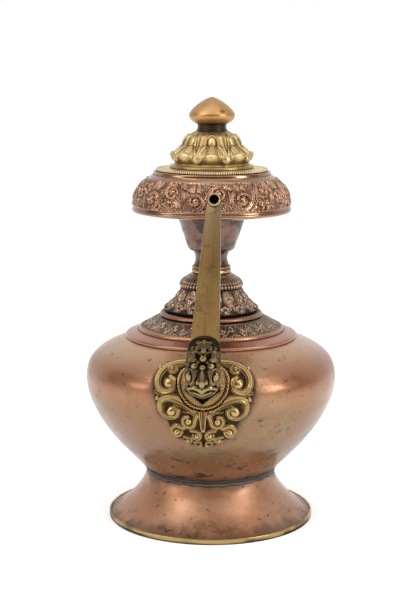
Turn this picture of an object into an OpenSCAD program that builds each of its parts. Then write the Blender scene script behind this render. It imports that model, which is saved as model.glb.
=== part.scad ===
// Tibetan bumpa: a lidded copper water vase with a brass spout, made of raised, spun and cast pieces.
// Units are millimetres. Z is up, the floor is at z = 0, the vase's axis is Z and the spout faces -Y.

/* [Foot] */
// Height of the flared foot
foot_h = 35; // [31:1:40]
// Radius of the foot's flared edge
foot_r = 71.5; // [66:0.5:76]
// Radius of the foot's top, under the body
foot_top_r = 45.6; // [42:0.2:49]
// Height of the flared edge above the floor
foot_edge_z = 3.5; // [3:0.1:5]
// Width of the brass band's ledge under the foot
band_w = 6; // [4:0.5:9]

/* [Body] */
// Radius of the body at its widest
body_r = 88.9; // [84:0.1:94]
// Height from the foot to the widest line
belly_h = 68.9; // [62:0.1:76]
// Height from the widest line to the straight part of the shoulder
shoulder_h = 26.7; // [24:0.1:30]
// Slope of the shoulder's straight part, in degrees
shoulder_slope = 23; // [19:1:26]
// Radius of the body's open top
body_mouth_r = 50; // [46:0.5:56]
// Thickness of the copper sheet
sheet = 1.5; // [1.2:0.1:1.8]

/* [Shoulder tiers] */
// How far the plain step stands out of the embossed plate
step_out = 9; // [7:0.1:11]
// Height of the step's wall
step_h = 2.5; // [2:0.1:3]
// How far the embossed plate reaches over the body's open edge
plate_over = 1.7; // [1.2:0.1:4]
// Height of the embossed plate
plate_h = 9.4; // [7.5:0.1:12]
// Height of the embossed plate's upright edge
plate_edge_h = 1.8; // [1.4:0.1:2.4]
// Radius of the plain ring on the plate
ring_r = 36.4; // [35:0.1:39]
// Height of the plain ring
ring_h = 3.6; // [2.8:0.1:4.6]
// Width of the plain ring's seat on the plate
ring_w = 6; // [5:0.1:7]

/* [Lotus cone and collar] */
// Number of petals round the cone
cone_petals = 16; // [12:1:18]
// Radius at the tips of the cone's petals
cone_r = 33.8; // [32.5:0.1:34.5]
// Radius of the cone's top
cone_top_r = 21.8; // [20.8:0.1:23]
// Height of the cone
cone_h = 16.6; // [14:0.1:20]
// Number of gadroons round the collar
collar_gadroons = 54; // [40:1:60]
// Radius of the collar
collar_r = 22.5; // [21.5:0.1:24]
// Height of the collar
collar_h = 10.1; // [8:0.1:12]

/* [Neck and cup] */
// Radius of the brass double bead
bead_r = 13.9; // [13.2:0.1:15]
// Height of the double bead
bead_h = 5.5; // [4.5:0.1:7]
// Bore of the neck, radius
neck_bore_r = 9.6; // [9:0.1:10]
// Radius of the neck at its waist
neck_r = 11.2; // [11:0.1:12]
// Height of the neck
neck_h = 10.3; // [8:0.1:13]
// Radius of the cup's top
cup_r = 23.6; // [22.5:0.1:25]
// Radius of the cup's rounded bottom
cup_low_r = 17; // [15.5:0.1:18]
// Height of the cup
cup_h = 23.2; // [19:0.1:28]

/* [Wide rim and mouth] */
// Radius of the rim's domed band
dome_r = 55.6; // [52:0.1:59]
// Height of the domed band
dome_h = 23.3; // [20:0.1:27]
// How far the rolled lip stands out of the band
lip_out = 0.4; // [0.2:0.1:1]
// Height of the rim's underplate with its lip
under_h = 7.2; // [6:0.1:9]
// Outer radius of the mouth ring
mouth_r = 41.6; // [40.6:0.1:43]
// Bore of the mouth, radius
mouth_bore_r = 34.2; // [33:0.1:35]
// Height of the mouth ring above the band
mouth_h = 2.3; // [1.8:0.1:3]
// Thickness of the rim's sheet
rim_sheet = 1.4; // [1.1:0.1:1.6]
// Number of scroll pairs round the domed band
scroll_pairs = 10; // [6:1:12]
// Outer radius of one scroll's curl
scroll_r = 6.3; // [5:0.1:6.8]
// Width of a scroll's ribbon
scroll_w = 2.6; // [1.8:0.1:3]
// Height of the scrolls over the band
scroll_h = 0.7; // [0.3:0.1:1]

/* [Lid] */
// Radius of the lid's flange
flange_r = 39.2; // [37.5:0.1:41]
// Thickness of the flange
flange_h = 1.6; // [1.2:0.1:2.2]
// Play between the lid's sleeve and the mouth, on the radius
lid_play = 0.5; // [0.4:0.1:0.8]
// Depth of the sleeve below the flange
sleeve_h = 9; // [6:0.5:12]
// Radius of the ring under the lotus
base_r = 29.4; // [28.6:0.1:31]
// Height of the ring under the lotus
base_h = 2.4; // [1.8:0.1:3.2]
// Number of large petals on the lid
lid_petals = 8; // [6:1:10]
// Radius at the lid's petal tips
lotus_r = 28.5; // [27.5:0.1:29.5]
// Height of the lid's lotus
lotus_h = 23.1; // [20:0.1:26]
// Turn of the loose lid, in degrees
lid_turn = 3; // [-20:1:20]
// Radius of the dark collar
collar_top_r = 10.2; // [9.4:0.1:11]
// Height of the dark collar
collar_top_h = 5.1; // [4:0.1:6.5]
// Radius of the knob
knob_r = 15.9; // [14:0.1:18]
// Height of the knob
knob_h = 18.2; // [16:0.1:21]
// Radius of the stem through the lid
stem_r = 3; // [2.4:0.1:3.6]

/* [Spout] */
// Height of the spout's root over the body's widest line
spout_z = 12; // [9:0.5:15]
// Width of the spout across its sides at the root
spout_root_w = 20.4; // [18.5:0.1:21]
// Width of the spout across its sides at the tip
spout_tip_w = 8.6; // [8.2:0.1:10]
// Height of the tip's outlet
spout_tip_z = 240; // [234:0.5:246]
// Outward lean of the spout, in degrees
spout_out = 4; // [2:0.5:7]
// Sideways drift of the hand-set tip
spout_drift = 8; // [0:0.5:10]
// Rise of the outlet, in degrees
outlet_rise = 20; // [10:1:30]
// Wall of the spout
spout_wall = 1.1; // [0.9:0.1:1.2]
// Radius of the outlet
outlet_r = 2.95; // [2.5:0.05:3]
// Radius of the hole in the body behind the spout
spout_hole_r = 7.5; // [6.5:0.1:7.6]

/* [Makara and escutcheon] */
// Height of the makara mask up the spout
mask_len = 35.5; // [33:0.5:38]
// Relief of the makara mask
mask_relief = 3.2; // [2.4:0.1:4]
// Radius of the boss round the spout's root
boss_r = 15; // [14.6:0.1:15.6]
// Height of the boss at the spout
boss_h = 6.4; // [5.4:0.1:7.4]
// Thickness of the rope ring
rope_d = 2.6; // [2.2:0.1:3]
// Half width of the escutcheon
plate_side = 35; // [33:0.5:37]
// Reach of the escutcheon below the spout
plate_drop = 47; // [44:0.5:50]
// Reach of the escutcheon above the spout
plate_rise = 22; // [20.5:0.5:25]
// Base thickness of the escutcheon
plate_base = 1.6; // [1.3:0.1:2]
// Relief of the escutcheon's volutes
volute_relief = 2.6; // [2:0.1:3.2]

/* [Hidden] */

$fn = 96;
copper = [0.66, 0.41, 0.33];
dark_copper = [0.36, 0.25, 0.22];
brass = [0.70, 0.57, 0.31];
bronze = [0.30, 0.25, 0.18];
lead = [0.36, 0.35, 0.35];

// Solder gap between fixed pieces, and the play of the loose lid on the mouth
gap = 0.1;
lid_gap = 0.3;

// Heights of the pieces, each standing on the one below it
z_body = foot_h + gap;
z_belly = z_body + belly_h;
z_shoulder = z_belly + shoulder_h;
plate_r = body_mouth_r + plate_over;
step_r = plate_r + step_out;
step_clear = 1.3;
shoulder_r = step_r + step_clear;
plate_seat = 0.8;
z_plate = shoulder_at(body_mouth_r) + plate_seat;
z_ring = z_plate + plate_h + gap;
z_cone = z_ring + ring_h + gap;
z_collar = z_cone + cone_h + gap;
z_bead = z_collar + collar_h + gap;
z_neck = z_bead + bead_h + gap;
z_cup = z_neck + neck_h + gap;
z_under = z_cup + cup_h + gap;
z_dome = z_under + under_h + gap;
z_mouth = z_dome + dome_h;
z_flange = z_mouth + mouth_h + lid_gap;
z_base = z_flange + flange_h + gap;
z_lotus = z_base + base_h + gap;
z_dark = z_lotus + lotus_h + gap;
z_knob = z_dark + collar_top_h + gap;

// Curves: a cubic with four points, its direction, and points beside it (positive to the right of travel)
function unit(v) = v / norm(v);
function bez(p, t) = pow(1 - t, 3)*p[0] + 3*t*pow(1 - t, 2)*p[1] + 3*t*t*(1 - t)*p[2] + pow(t, 3)*p[3];
function bez_dir(p, t) = unit(pow(1 - t, 2)*(p[1] - p[0]) + 2*t*(1 - t)*(p[2] - p[1]) + t*t*(p[3] - p[2]));
function right(v) = [v[1], -v[0]];
function beside(p, t, d) = bez(p, t) + d*right(bez_dir(p, t));
function curve(p, n, d = 0) = [for (i = [0:n]) beside(p, i/n, d)];
function rev(v) = [for (i = [len(v) - 1:-1:0]) v[i]];
function total(v, i = 0) = i == len(v) ? 0 : v[i] + total(v, i + 1);
function bez_len(p, n = 24) = total([for (i = [1:n]) norm(bez(p, i/n) - bez(p, (i - 1)/n))]);
function t_at_z(p, z, lo = 0, hi = 1, k = 24) =
  k == 0 ? (lo + hi)/2 :
  bez(p, (lo + hi)/2)[1] < z ? t_at_z(p, z, (lo + hi)/2, hi, k - 1) : t_at_z(p, z, lo, (lo + hi)/2, k - 1);
function bump(d, w) = exp(-d*d/(w*w));
function wave(a) = 0.5 - 0.5*cos(a);

// Foot: from the flared edge up to the body
foot_w = foot_r - foot_top_r;
foot_rise = foot_h - foot_edge_z;
foot_line = [[foot_r, foot_edge_z], [foot_r - 0.35*foot_w, foot_edge_z + 0.14*foot_rise],
  [foot_top_r + 0.07*foot_w, foot_h - 0.45*foot_rise], [foot_top_r, foot_h]];
foot_steps = 18;
foot_edge_in = beside(foot_line, 0, -sheet);
band_wall = 1.6;

// Body: lower curve up to the widest line, upper curve to the straight shoulder
body_w = body_r - foot_top_r;
body_lo = [[foot_top_r, z_body], [foot_top_r + 0.35*body_w, z_body + 0.24*belly_h],
  [body_r, z_belly - 0.41*belly_h], [body_r, z_belly]];
shoulder_pull = 0.56*(body_r - shoulder_r);
body_up = [[body_r, z_belly], [body_r, z_belly + 0.61*shoulder_h],
  [shoulder_r + shoulder_pull*cos(shoulder_slope), z_shoulder - shoulder_pull*sin(shoulder_slope)],
  [shoulder_r, z_shoulder]];
lo_steps = 26;
up_steps = 18;
function shoulder_at(r) = z_shoulder + (shoulder_r - r)*tan(shoulder_slope);
bowl_out = concat([[0, z_body]], curve(body_lo, lo_steps));
bowl_in = concat([[0, z_body + sheet]],
  [for (p = curve(body_lo, lo_steps, -sheet)) [p[0], max(p[1], z_body + sheet)]]);
seam_z = z_belly + gap;
up_out = concat([[body_r, seam_z]], [for (i = [1:up_steps]) bez(body_up, i/up_steps)],
  [[body_mouth_r, shoulder_at(body_mouth_r)]]);
up_in = concat([[body_r - sheet, seam_z]], [for (i = [1:up_steps]) beside(body_up, i/up_steps, -sheet)],
  [[body_mouth_r, shoulder_at(body_mouth_r) - sheet/cos(shoulder_slope)]]);

// Spout root on the body's upper curve: its point, the direction that leaves the body, and its slope
root_t = t_at_z(body_up, z_belly + spout_z);
root = bez(body_up, root_t);
root_dir = right(bez_dir(body_up, root_t));
root_e = atan2(root_dir[1], root_dir[0]);
root_3d = [0, -root[0], root[1]];
root_dir_3d = [0, -root_dir[0], root_dir[1]];

// Body's skin as a map: x across, t up the body from the spout's root, h out of the surface
lo_len = bez_len(body_lo);
up_len = bez_len(body_up);
root_w = root_t*up_len;
function meridian(t, h) =
  let(w = root_w + t, past = max(w - up_len, 0))
  w < 0 ? beside(body_lo, 1 + w/lo_len, h) :
  beside(body_up, (w - past)/up_len, h) + past*dir(180 - shoulder_slope);
function skin(x, t, h) =
  let(q = meridian(t, h), a = x/meridian(t, 0)[0]*180/PI) [q[0]*sin(a), -q[0]*cos(a), q[1]];
function off_axis(phi, rho) =
  let(q = skin(-rho*sin(phi), rho*cos(phi), 0) - root_3d) norm(q - (q*root_dir_3d)*root_dir_3d);
function rho_for(phi, d, lo, hi, k = 18) =
  k == 0 ? hi :
  off_axis(phi, (lo + hi)/2) < d ? rho_for(phi, d, (lo + hi)/2, hi, k - 1) :
  rho_for(phi, d, lo, (lo + hi)/2, k - 1);

// Spout path in the plane through the axis: straight root, bend up, long straight part, bend out to the tip
root_len = boss_h + 1;
bend_r = 16;
tip_bend_r = 9;
bend_turn = 90 - spout_out - root_e;
tip_turn = 90 - spout_out - outlet_rise;
bend_len = bend_r*bend_turn*PI/180;
tip_len = tip_bend_r*tip_turn*PI/180;
function dir(a) = [cos(a), sin(a)];
path_a = root + (root_len + gap)*root_dir;
path_b = path_a + bend_r*(dir(root_e + 90) - dir(180 - spout_out));
tip_step = tip_bend_r*(dir(90 - spout_out - 90) - dir(outlet_rise - 90));
long_len = (spout_tip_z - path_b[1] - tip_step[1])/cos(spout_out);
path_c = path_b + long_len*dir(90 - spout_out);
path_len = root_len + bend_len + long_len + tip_len;
function path_angle(s) = s <= root_len ? root_e :
  s <= root_len + bend_len ? root_e + bend_turn*(s - root_len)/bend_len :
  s <= root_len + bend_len + long_len ? 90 - spout_out :
  90 - spout_out - tip_turn*(s - root_len - bend_len - long_len)/tip_len;
function path_at(s) = s <= root_len ? root + (s + gap)*root_dir :
  s <= root_len + bend_len ? path_a + bend_r*(dir(root_e + 90) - dir(path_angle(s) + 90)) :
  s <= root_len + bend_len + long_len ? path_b + (s - root_len - bend_len)*dir(90 - spout_out) :
  path_c + tip_bend_r*(dir(path_angle(s) + 90) - dir(180 - spout_out));
hex_c = cos(30);
root_hex = spout_root_w/2/hex_c;
tip_hex = spout_tip_w/2/hex_c;
taper_from = root_len + bend_len;
taper_len = long_len + tip_len;
function path_hex(s) = root_hex + (tip_hex - root_hex)*min(max((s - taper_from)/taper_len, 0), 1);
function path_x(s) = spout_drift*max(s - root_len, 0)/(path_len - root_len);
// A point round the path: a is the angle from the front, d the distance from the path
function round_path(s, a, d) =
  let(p = path_at(s) + d*cos(a)*right(dir(path_angle(s)))) [path_x(s) + d*sin(a), -p[0], p[1]];
function hex_at(a) = hex_c/cos(abs(a) % 60 - 30);
bend_steps = 8;
long_steps = 4;
tip_steps = 6;
path_stops = concat([0], [for (i = [0:bend_steps]) root_len + bend_len*i/bend_steps],
  [for (i = [1:long_steps]) taper_from + long_len*i/long_steps],
  [for (i = [1:tip_steps]) taper_from + long_len + tip_len*i/tip_steps]);

// Solids from a ring of closed sections, and from a row of closed sections with two ends
function joined(v) = [for (s = v) each s];
function ring_faces(n, m) = [for (j = [0:n - 1]) for (k = [0:m - 1])
  let(j2 = (j + 1) % n, k2 = (k + 1) % m)
  each [[j*m + k, j*m + k2, j2*m + k2], [j*m + k, j2*m + k2, j2*m + k]]];
function side_faces(n, m) = [for (j = [0:n - 2]) for (k = [0:m - 1])
  let(k2 = (k + 1) % m) each [[j*m + k, j*m + m + k, j*m + m + k2], [j*m + k, j*m + m + k2, j*m + k2]]];
function end_faces(m, at, flip) = [for (k = [0:m/2 - 2]) each
  let(a = at + k, b = at + k + 1, c = at + m - 2 - k, d = at + m - 1 - k)
  flip ? [[a, c, b], [a, d, c]] : [[a, b, c], [a, c, d]]];

module ring_solid(secs) {
  polyhedron(joined(secs), ring_faces(len(secs), len(secs[0])), convexity = 8);
}

module row_solid(secs) {
  n = len(secs);
  m = len(secs[0]);
  polyhedron(joined(secs), concat(side_faces(n, m), end_faces(m, 0, false), end_faces(m, (n - 1)*m, true)),
    convexity = 8);
}

module turned(points) {
  rotate_extrude() polygon(points);
}

function spun(section, a) = [for (p = section) [p[0]*sin(a), -p[0]*cos(a), p[1]]];

module at_root() {
  translate(root_3d) rotate([90 - root_e, 0, 0]) children();
}

module foot_rim() {
  wall_r = foot_r + gap;
  ledge_z = foot_edge_in[1] - gap;
  top_z = foot_edge_z + 0.4;
  round_r = 0.6;
  color(brass) turned([[wall_r - band_w, 0], [wall_r + band_wall - round_r, 0], [wall_r + band_wall, round_r],
    [wall_r + band_wall, top_z - round_r], [wall_r + band_wall - round_r, top_z], [wall_r, top_z],
    [wall_r, ledge_z], [wall_r - band_w, ledge_z]]);
}

module foot() {
  flange_w = 4;
  color(copper) turned(concat(curve(foot_line, foot_steps), [[foot_top_r - sheet - flange_w, foot_h],
    [foot_top_r - sheet - flange_w, foot_h - sheet]],
    [for (p = rev(curve(foot_line, foot_steps, -sheet))) [p[0], min(p[1], foot_h - sheet)]]));
}

module foot_solder() {
  body_side = beside(body_lo, 1/lo_steps, gap);
  foot_side = beside(foot_line, 1 - 1/foot_steps, gap);
  bulge = 0.6;
  color(lead) turned([body_side, [foot_top_r + 3*gap, foot_h + gap/2], foot_side,
    (body_side + foot_side)/2 + [bulge, 0]]);
}

module body_bowl() {
  color(copper) turned(concat(bowl_out, rev(bowl_in)));
}

module body_shoulder() {
  color(copper) difference() {
    turned(concat(up_out, rev(up_in)));
    at_root() translate([0, 0, -4*sheet]) cylinder(r = spout_hole_r, h = 8*sheet);
  }
}

module shoulder_step() {
  low = shoulder_at(step_r);
  lift = gap/cos(shoulder_slope);
  round_r = 0.7;
  ledge = 0.3;
  color(copper) turned([[step_r, low + lift], [step_r, low + step_h - round_r],
    [step_r - round_r, low + step_h], [plate_r + ledge, z_plate - gap], [body_mouth_r, z_plate - gap],
    [body_mouth_r, shoulder_at(body_mouth_r) + lift]]);
}

module shoulder_plate() {
  round_r = 0.7;
  top_z = z_plate + plate_h;
  edge_z = z_plate + plate_edge_h;
  rim_in_r = plate_r - sheet - round_r;
  seat_r = ring_r + 0.6;
  bore_r = ring_r - ring_w;
  color(dark_copper) turned([[plate_r, z_plate], [plate_r, edge_z - round_r], [plate_r - round_r, edge_z],
    [seat_r, top_z], [bore_r, top_z], [bore_r, top_z - sheet], [seat_r - round_r, top_z - sheet],
    [rim_in_r, edge_z - round_r], [rim_in_r, z_plate]]);
}

module shoulder_ring() {
  bore_r = ring_r - ring_w - 1;
  top_r = ring_r - 2.8;
  side = [[ring_r - 1.4, z_ring], [ring_r + 1, z_ring + 0.14*ring_h], [ring_r + 0.4, z_ring + 0.9*ring_h],
    [top_r, z_ring + ring_h]];
  color(copper) turned(concat([[bore_r, z_ring]], curve(side, 10), [[bore_r, z_ring + ring_h]]));
}

// One upright section of the lotus cone at angle a: petals stand out, the valleys between them lie deeper
cone_valley = 1.6;
cone_tip_cut = 2;
cone_tip_lift = 1.4;
cone_tip_h = 2.4;
cone_wall = 3.6;
cone_steps = 6;
cone_run = cone_r - cone_top_r;
cone_side = [[cone_r, z_cone + cone_tip_h], [cone_r - 0.36*cone_run, z_cone + 0.34*cone_h],
  [cone_top_r + 0.14*cone_run, z_cone + 0.66*cone_h], [cone_top_r, z_cone + cone_h]];
function cone_petal(i, v) =
  let(p = bez(cone_side, i/cone_steps), fade = 1 - 0.56*i/cone_steps, tip = i == 0 ? 1 : 0)
  [p[0] - v*cone_valley*fade + 0.3*tip, p[1] + v*cone_tip_lift*tip];
function cone_section(a) =
  let(v = wave(cone_petals*a), foot = cone_r - cone_wall)
  concat([[foot - 1, z_cone], [foot + 1.6 - v*cone_tip_cut/2, z_cone],
    [cone_r - 0.6 - v*cone_tip_cut, z_cone + 1 + v*cone_tip_lift/2]],
    [for (i = [0:cone_steps]) cone_petal(i, v)],
    [[cone_top_r - cone_wall, z_cone + cone_h], [cone_top_r - 0.67*cone_wall, z_cone + 0.62*cone_h],
      [foot - 2.6, z_cone + 3]]);

module lotus_cone() {
  turns = 6*cone_petals;
  color(dark_copper) ring_solid([for (j = [0:turns - 1]) spun(cone_section(360*j/turns), 360*j/turns)]);
}

// One upright section of the collar; the flutes run from its lower edge and fade on the round top
collar_steps = 5;
collar_wall = 4;
flute = 0.8;
collar_side = [[collar_r - 0.2, z_collar + 1.2], [collar_r + 0.6, z_collar + 0.5*collar_h],
  [collar_r - 3, z_collar + 0.66*collar_h], [bead_r + 0.4, z_collar + collar_h]];
function collar_round(i, cut) =
  let(p = bez(collar_side, i/collar_steps))
  [p[0] - cut*max(1 - i/(collar_steps - 0.5), 0), p[1]];
function collar_section(cut) =
  concat([[collar_r - collar_wall, z_collar], [collar_r - 1.2 - cut, z_collar]],
    [for (i = [0:collar_steps]) collar_round(i, cut)],
    [[bead_r - 0.65*collar_wall, z_collar + collar_h],
      [collar_r - 1.4*collar_wall, z_collar + 0.6*collar_h]]);

module bead_collar() {
  turns = 2*collar_gadroons;
  color(dark_copper) ring_solid([for (j = [0:turns - 1])
    spun(collar_section(j % 2 == 0 ? 0 : flute), 360*j/turns)]);
}

module neck_ring() {
  waist = z_bead + 0.62*bead_h;
  lower = [[bead_r - 0.9, z_bead], [bead_r + 0.5, z_bead + 0.1*bead_h], [bead_r + 0.4, waist - 0.1*bead_h],
    [bead_r - 0.9, waist]];
  upper = [[bead_r - 0.9, waist], [bead_r + 0.1, waist + 0.1*bead_h], [bead_r, z_bead + 0.95*bead_h],
    [bead_r - 1.4, z_bead + bead_h]];
  color(brass) turned(concat([[neck_bore_r, z_bead]], curve(lower, 8), [for (i = [1:6]) bez(upper, i/6)],
    [[neck_bore_r, z_bead + bead_h]]));
}

module neck() {
  flare = 1.4;
  side = [[neck_r + flare, z_neck], [neck_r - 0.4, z_neck + 0.32*neck_h],
    [neck_r - 0.5, z_neck + 0.64*neck_h], [neck_r + flare + 0.5, z_neck + neck_h]];
  color(dark_copper) turned(concat([[neck_bore_r, z_neck]], curve(side, 12),
    [[neck_bore_r, z_neck + neck_h]]));
}

module cup() {
  seat_r = neck_r + 2.2;
  heel_z = z_cup + 0.14*cup_h;
  heel = [[seat_r, z_cup], [cup_low_r - 0.8, z_cup + 0.2], [cup_low_r - 0.2, heel_z - 1],
    [cup_low_r, heel_z]];
  in_r = cup_low_r - rim_sheet;
  color(dark_copper) turned(concat([[neck_bore_r, z_cup]], curve(heel, 6), [[cup_r, z_cup + cup_h],
    [cup_r - rim_sheet, z_cup + cup_h], [in_r, heel_z + 0.3], [in_r - 1.2, z_cup + 0.09*cup_h],
    [neck_bore_r, z_cup + rim_sheet]]));
}

module rim_underplate() {
  bore_r = cup_r - 3;
  seat_r = cup_r + 0.6;
  lip_r = dome_r + lip_out;
  top_z = z_under + under_h;
  lip_h = 2.4;
  round_r = 0.6;
  slope_r = dome_r - 3.2;
  low_z = top_z - lip_h - 0.9;
  seam_r = dome_r - 2;
  color(copper) turned([[bore_r, z_under], [seat_r, z_under], [slope_r, low_z],
    [lip_r - round_r, top_z - lip_h], [lip_r, top_z - lip_h + round_r], [lip_r, top_z - round_r],
    [lip_r - round_r, top_z], [seam_r, top_z], [seam_r, top_z - round_r], [slope_r, low_z + rim_sheet],
    [seat_r, z_under + rim_sheet], [bore_r, z_under + rim_sheet]]);
}

// Domed band of the rim, from the lip up to the mouth
dome_line = [[dome_r, z_dome], [dome_r, z_dome + 0.65*dome_h],
  [mouth_r + 0.45*(dome_r - mouth_r), z_dome + 0.77*dome_h], [mouth_r, z_mouth]];
dome_steps = 10;

// Scrolls of the domed band: a low and a high curl in each pair, joined by an S-shaped stem.
// They are drawn flat and set on the band at a share t of its line and an angle a from the front.
// What lies in a raised skin is kept.
scroll_step = 360/scroll_pairs;
curl_low_t = 0.255;
curl_high_t = 0.444;
stem_t = 0.333;
eye_r = 0.26*scroll_r;
skin_out_steps = 8;
skin_in_steps = 4;
stem_line = scroll_r*[[-1.4, -1.38], [-0.1, -1.5], [-0.06, 1.52], [1.3, 1.48]];
stem_steps = 8;

module half_ring(r) {
  difference() {
    circle(r = r + scroll_w/2);
    circle(r = r - scroll_w/2);
    translate([-2*scroll_r, -2*scroll_r]) square([2*scroll_r, 4*scroll_r]);
  }
}

module curl() {
  circle(r = eye_r);
  translate([0, -0.15*scroll_r]) half_ring(0.85*scroll_r);
  translate([0, 0.12*scroll_r]) rotate(180) half_ring(0.58*scroll_r);
}

module stem() {
  polygon(concat(curve(stem_line, stem_steps, scroll_w/2), rev(curve(stem_line, stem_steps, -scroll_w/2))));
}

module on_dome(t, a) {
  p = bez(dome_line, t);
  up = bez_dir(dome_line, t);
  rotate(a) translate([0, -p[0], p[1]]) rotate([atan2(up[1], -up[0]), 0, 0])
    linear_extrude(2*scroll_r, center = true) children();
}

module dome_scrolls() {
  raised = curve(dome_line, skin_out_steps, scroll_h);
  sunk = curve(dome_line, skin_in_steps, -rim_sheet/2);
  intersection() {
    turned(concat(raised, rev(sunk)));
    for (i = [0:scroll_pairs - 1]) {
      on_dome(curl_low_t, scroll_step*(i - 0.25)) curl();
      on_dome(curl_high_t, scroll_step*(i + 0.25)) rotate(180) curl();
      on_dome(stem_t, scroll_step*i) stem();
    }
  }
}

module rim_dome() {
  color(copper) {
    turned(concat(curve(dome_line, dome_steps), rev(curve(dome_line, dome_steps, -rim_sheet))));
    dome_scrolls();
  }
}

module mouth_ring() {
  up = bez_dir(dome_line, 1);
  seat_out = bez(dome_line, 1) + gap*up;
  seat_in = beside(dome_line, 1, -rim_sheet) + gap*up;
  top_z = z_mouth + mouth_h;
  collar_w = 1.5;
  collar_z = seat_in[1] - 2.6;
  round_r = 0.8;
  color(copper) turned([[mouth_bore_r, collar_z], [mouth_bore_r + collar_w, collar_z],
    [mouth_bore_r + collar_w, seat_in[1]], seat_in, seat_out, [mouth_r - 0.5, top_z - round_r],
    [mouth_r - 0.5 - round_r, top_z], [mouth_bore_r, top_z]]);
}

// Escutcheon outline: reach from the spout's root at the angle phi from the top, the same on both sides
shape = [[0, plate_rise], [27, 0.95*plate_rise], [50, 0.75*plate_side], [70, 0.88*plate_side],
  [90, 0.98*plate_side], [105, 0.97*plate_side], [115, 0.98*plate_side], [126, 1.03*plate_side],
  [139, 0.98*plate_side], [147, 0.82*plate_drop], [155, 0.89*plate_drop], [168, 0.93*plate_drop],
  [180, 0.98*plate_drop]];
// Volutes: place across, place up, size
volutes = [[22.5, -1.5, 6], [31.5, 1, 3.6], [27, 9, 4], [19.5, 14, 4], [20, -20, 5.6], [28.5, -14, 4],
  [9.3, -25, 4.4], [17.1, -32.5, 4.4], [3.6, -36.3, 3.4], [9.5, -39.5, 3], [2.5, -43.5, 2.6], [10, 18, 3]];
stem_top = -19;
stem_end = -31;
stem_w = 2.6;
function stem_relief(x, t) =
  bump(x, stem_w)*(t > stem_end ? 1 : bump(t - stem_end, 2))*(t < stem_top ? 1 : 0.8);
function relief(x, t) = plate_base + volute_relief*min(1, total([for (v = volutes)
  let(d = norm([abs(x) - v[0], t - v[1]])) bump(d, 0.62*v[2])]) + stem_relief(x, t));
rope_rho = boss_r + gap + rope_d/2;
plate_in = rope_rho + rope_d/2 + gap;
plate_gap = 2*gap;
plate_turns = 96;
plate_rings = 9;
back_rings = 4;
function plate_section(phi) =
  let(reach = lookup(phi <= 180 ? phi : 360 - phi, shape), span = reach - plate_in)
  concat([for (i = [0:plate_rings]) let(f = 1 - i/plate_rings, rho = plate_in + span*f,
      x = -rho*sin(phi), t = rho*cos(phi))
      skin(x, t, plate_gap + (i == 0 ? 0.5 : 1)*relief(x, t))],
    [for (i = [0:back_rings]) let(rho = plate_in + span*i/back_rings)
      skin(-rho*sin(phi), rho*cos(phi), plate_gap)]);

module escutcheon() {
  color(brass) ring_solid([for (j = [0:plate_turns - 1]) plate_section(360*j/plate_turns)]);
}

module rope_ring() {
  knots = 30;
  sides = 6;
  waist = 0.86;
  side_turn = 360/sides;
  color(brass) ring_solid([for (j = [0:2*knots - 1])
    let(phi = 180*j/knots, r = rope_d/2*(j % 2 == 0 ? 1 : waist))
    [for (k = [0:sides - 1]) let(rho = rope_rho + r*cos(side_turn*k))
      skin(-rho*sin(phi), rho*cos(phi), gap + rope_d/2 + r*sin(side_turn*k))]]);
}

// Boss: ribbed collar on the body's skin with a six-sided hole for the spout
boss_turns = 60;
boss_rings = 5;
boss_rib = 0.6;
boss_fall = 0.72;
function boss_section(phi) =
  let(hole = rho_for(phi, root_hex*hex_at(phi) + gap, 0.7*root_hex, 1.6*root_hex), span = boss_r - hole)
  concat([for (i = [0:boss_rings]) let(f = 1 - i/boss_rings, rho = hole + span*f)
      skin(-rho*sin(phi), rho*cos(phi), gap + boss_h*(1 - boss_fall*f*f) - (i % 2 == 0 ? boss_rib : 0))],
    [for (i = [0:1]) let(rho = hole + span*i) skin(-rho*sin(phi), rho*cos(phi), gap)]);

module spout_boss() {
  color(brass) ring_solid([for (j = [0:boss_turns - 1]) boss_section(360*j/boss_turns)]);
}

module spout_tube() {
  sides = 6;
  turn = 360/sides;
  color(brass) ring_solid([for (j = [0:sides - 1])
    concat([for (s = path_stops) round_path(s, turn*j, path_hex(s))],
      [for (s = rev(path_stops)) round_path(s, turn*j, path_hex(s) - spout_wall/hex_c)])]);
}

// Makara mask: relief over the spout's front; u runs from side to side, v from the chin to the crest
mask_side = 60;
mask_cols = 16;
mask_rows = 22;
mask_from = boss_h + 1.2;
function mask_relief_at(u, v) = 0.7 + mask_relief*(1 - u*u)*(0.25
  + 0.55*bump(v - 0.04, 0.07)*bump(u, 0.4)
  + 0.5*(bump(u - 0.62, 0.28) + bump(u + 0.62, 0.28))*bump(v - 0.2, 0.1)
  + 0.75*bump(u, 0.2)*bump(v - 0.34, 0.16)
  + 0.6*(bump(u - 0.42, 0.16) + bump(u + 0.42, 0.16))*bump(v - 0.48, 0.07)
  + 0.5*(bump(u - 0.5, 0.3) + bump(u + 0.5, 0.3))*bump(v - 0.66, 0.06)
  + 0.7*bump(u, 0.26)*bump(v - 0.64, 0.08)
  + 0.7*bump(u, 0.3)*bump(v - 0.84, 0.06)
  + 0.5*bump(v - 0.95, 0.05));
function mask_section(s, v) = concat(
  [for (i = [0:mask_cols]) let(u = 2*i/mask_cols - 1, a = mask_side*u)
    round_path(s, a, path_hex(s)*hex_at(a) + gap/hex_c + mask_relief_at(u, v))],
  [for (i = [mask_cols:-1:0]) let(u = 2*i/mask_cols - 1, a = mask_side*u)
    round_path(s, a, path_hex(s)*hex_at(a) + gap/hex_c)]);

module makara_head() {
  color(bronze) row_solid([for (i = [0:mask_rows])
    mask_section(mask_from + mask_len*i/mask_rows, i/mask_rows)]);
}

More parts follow.
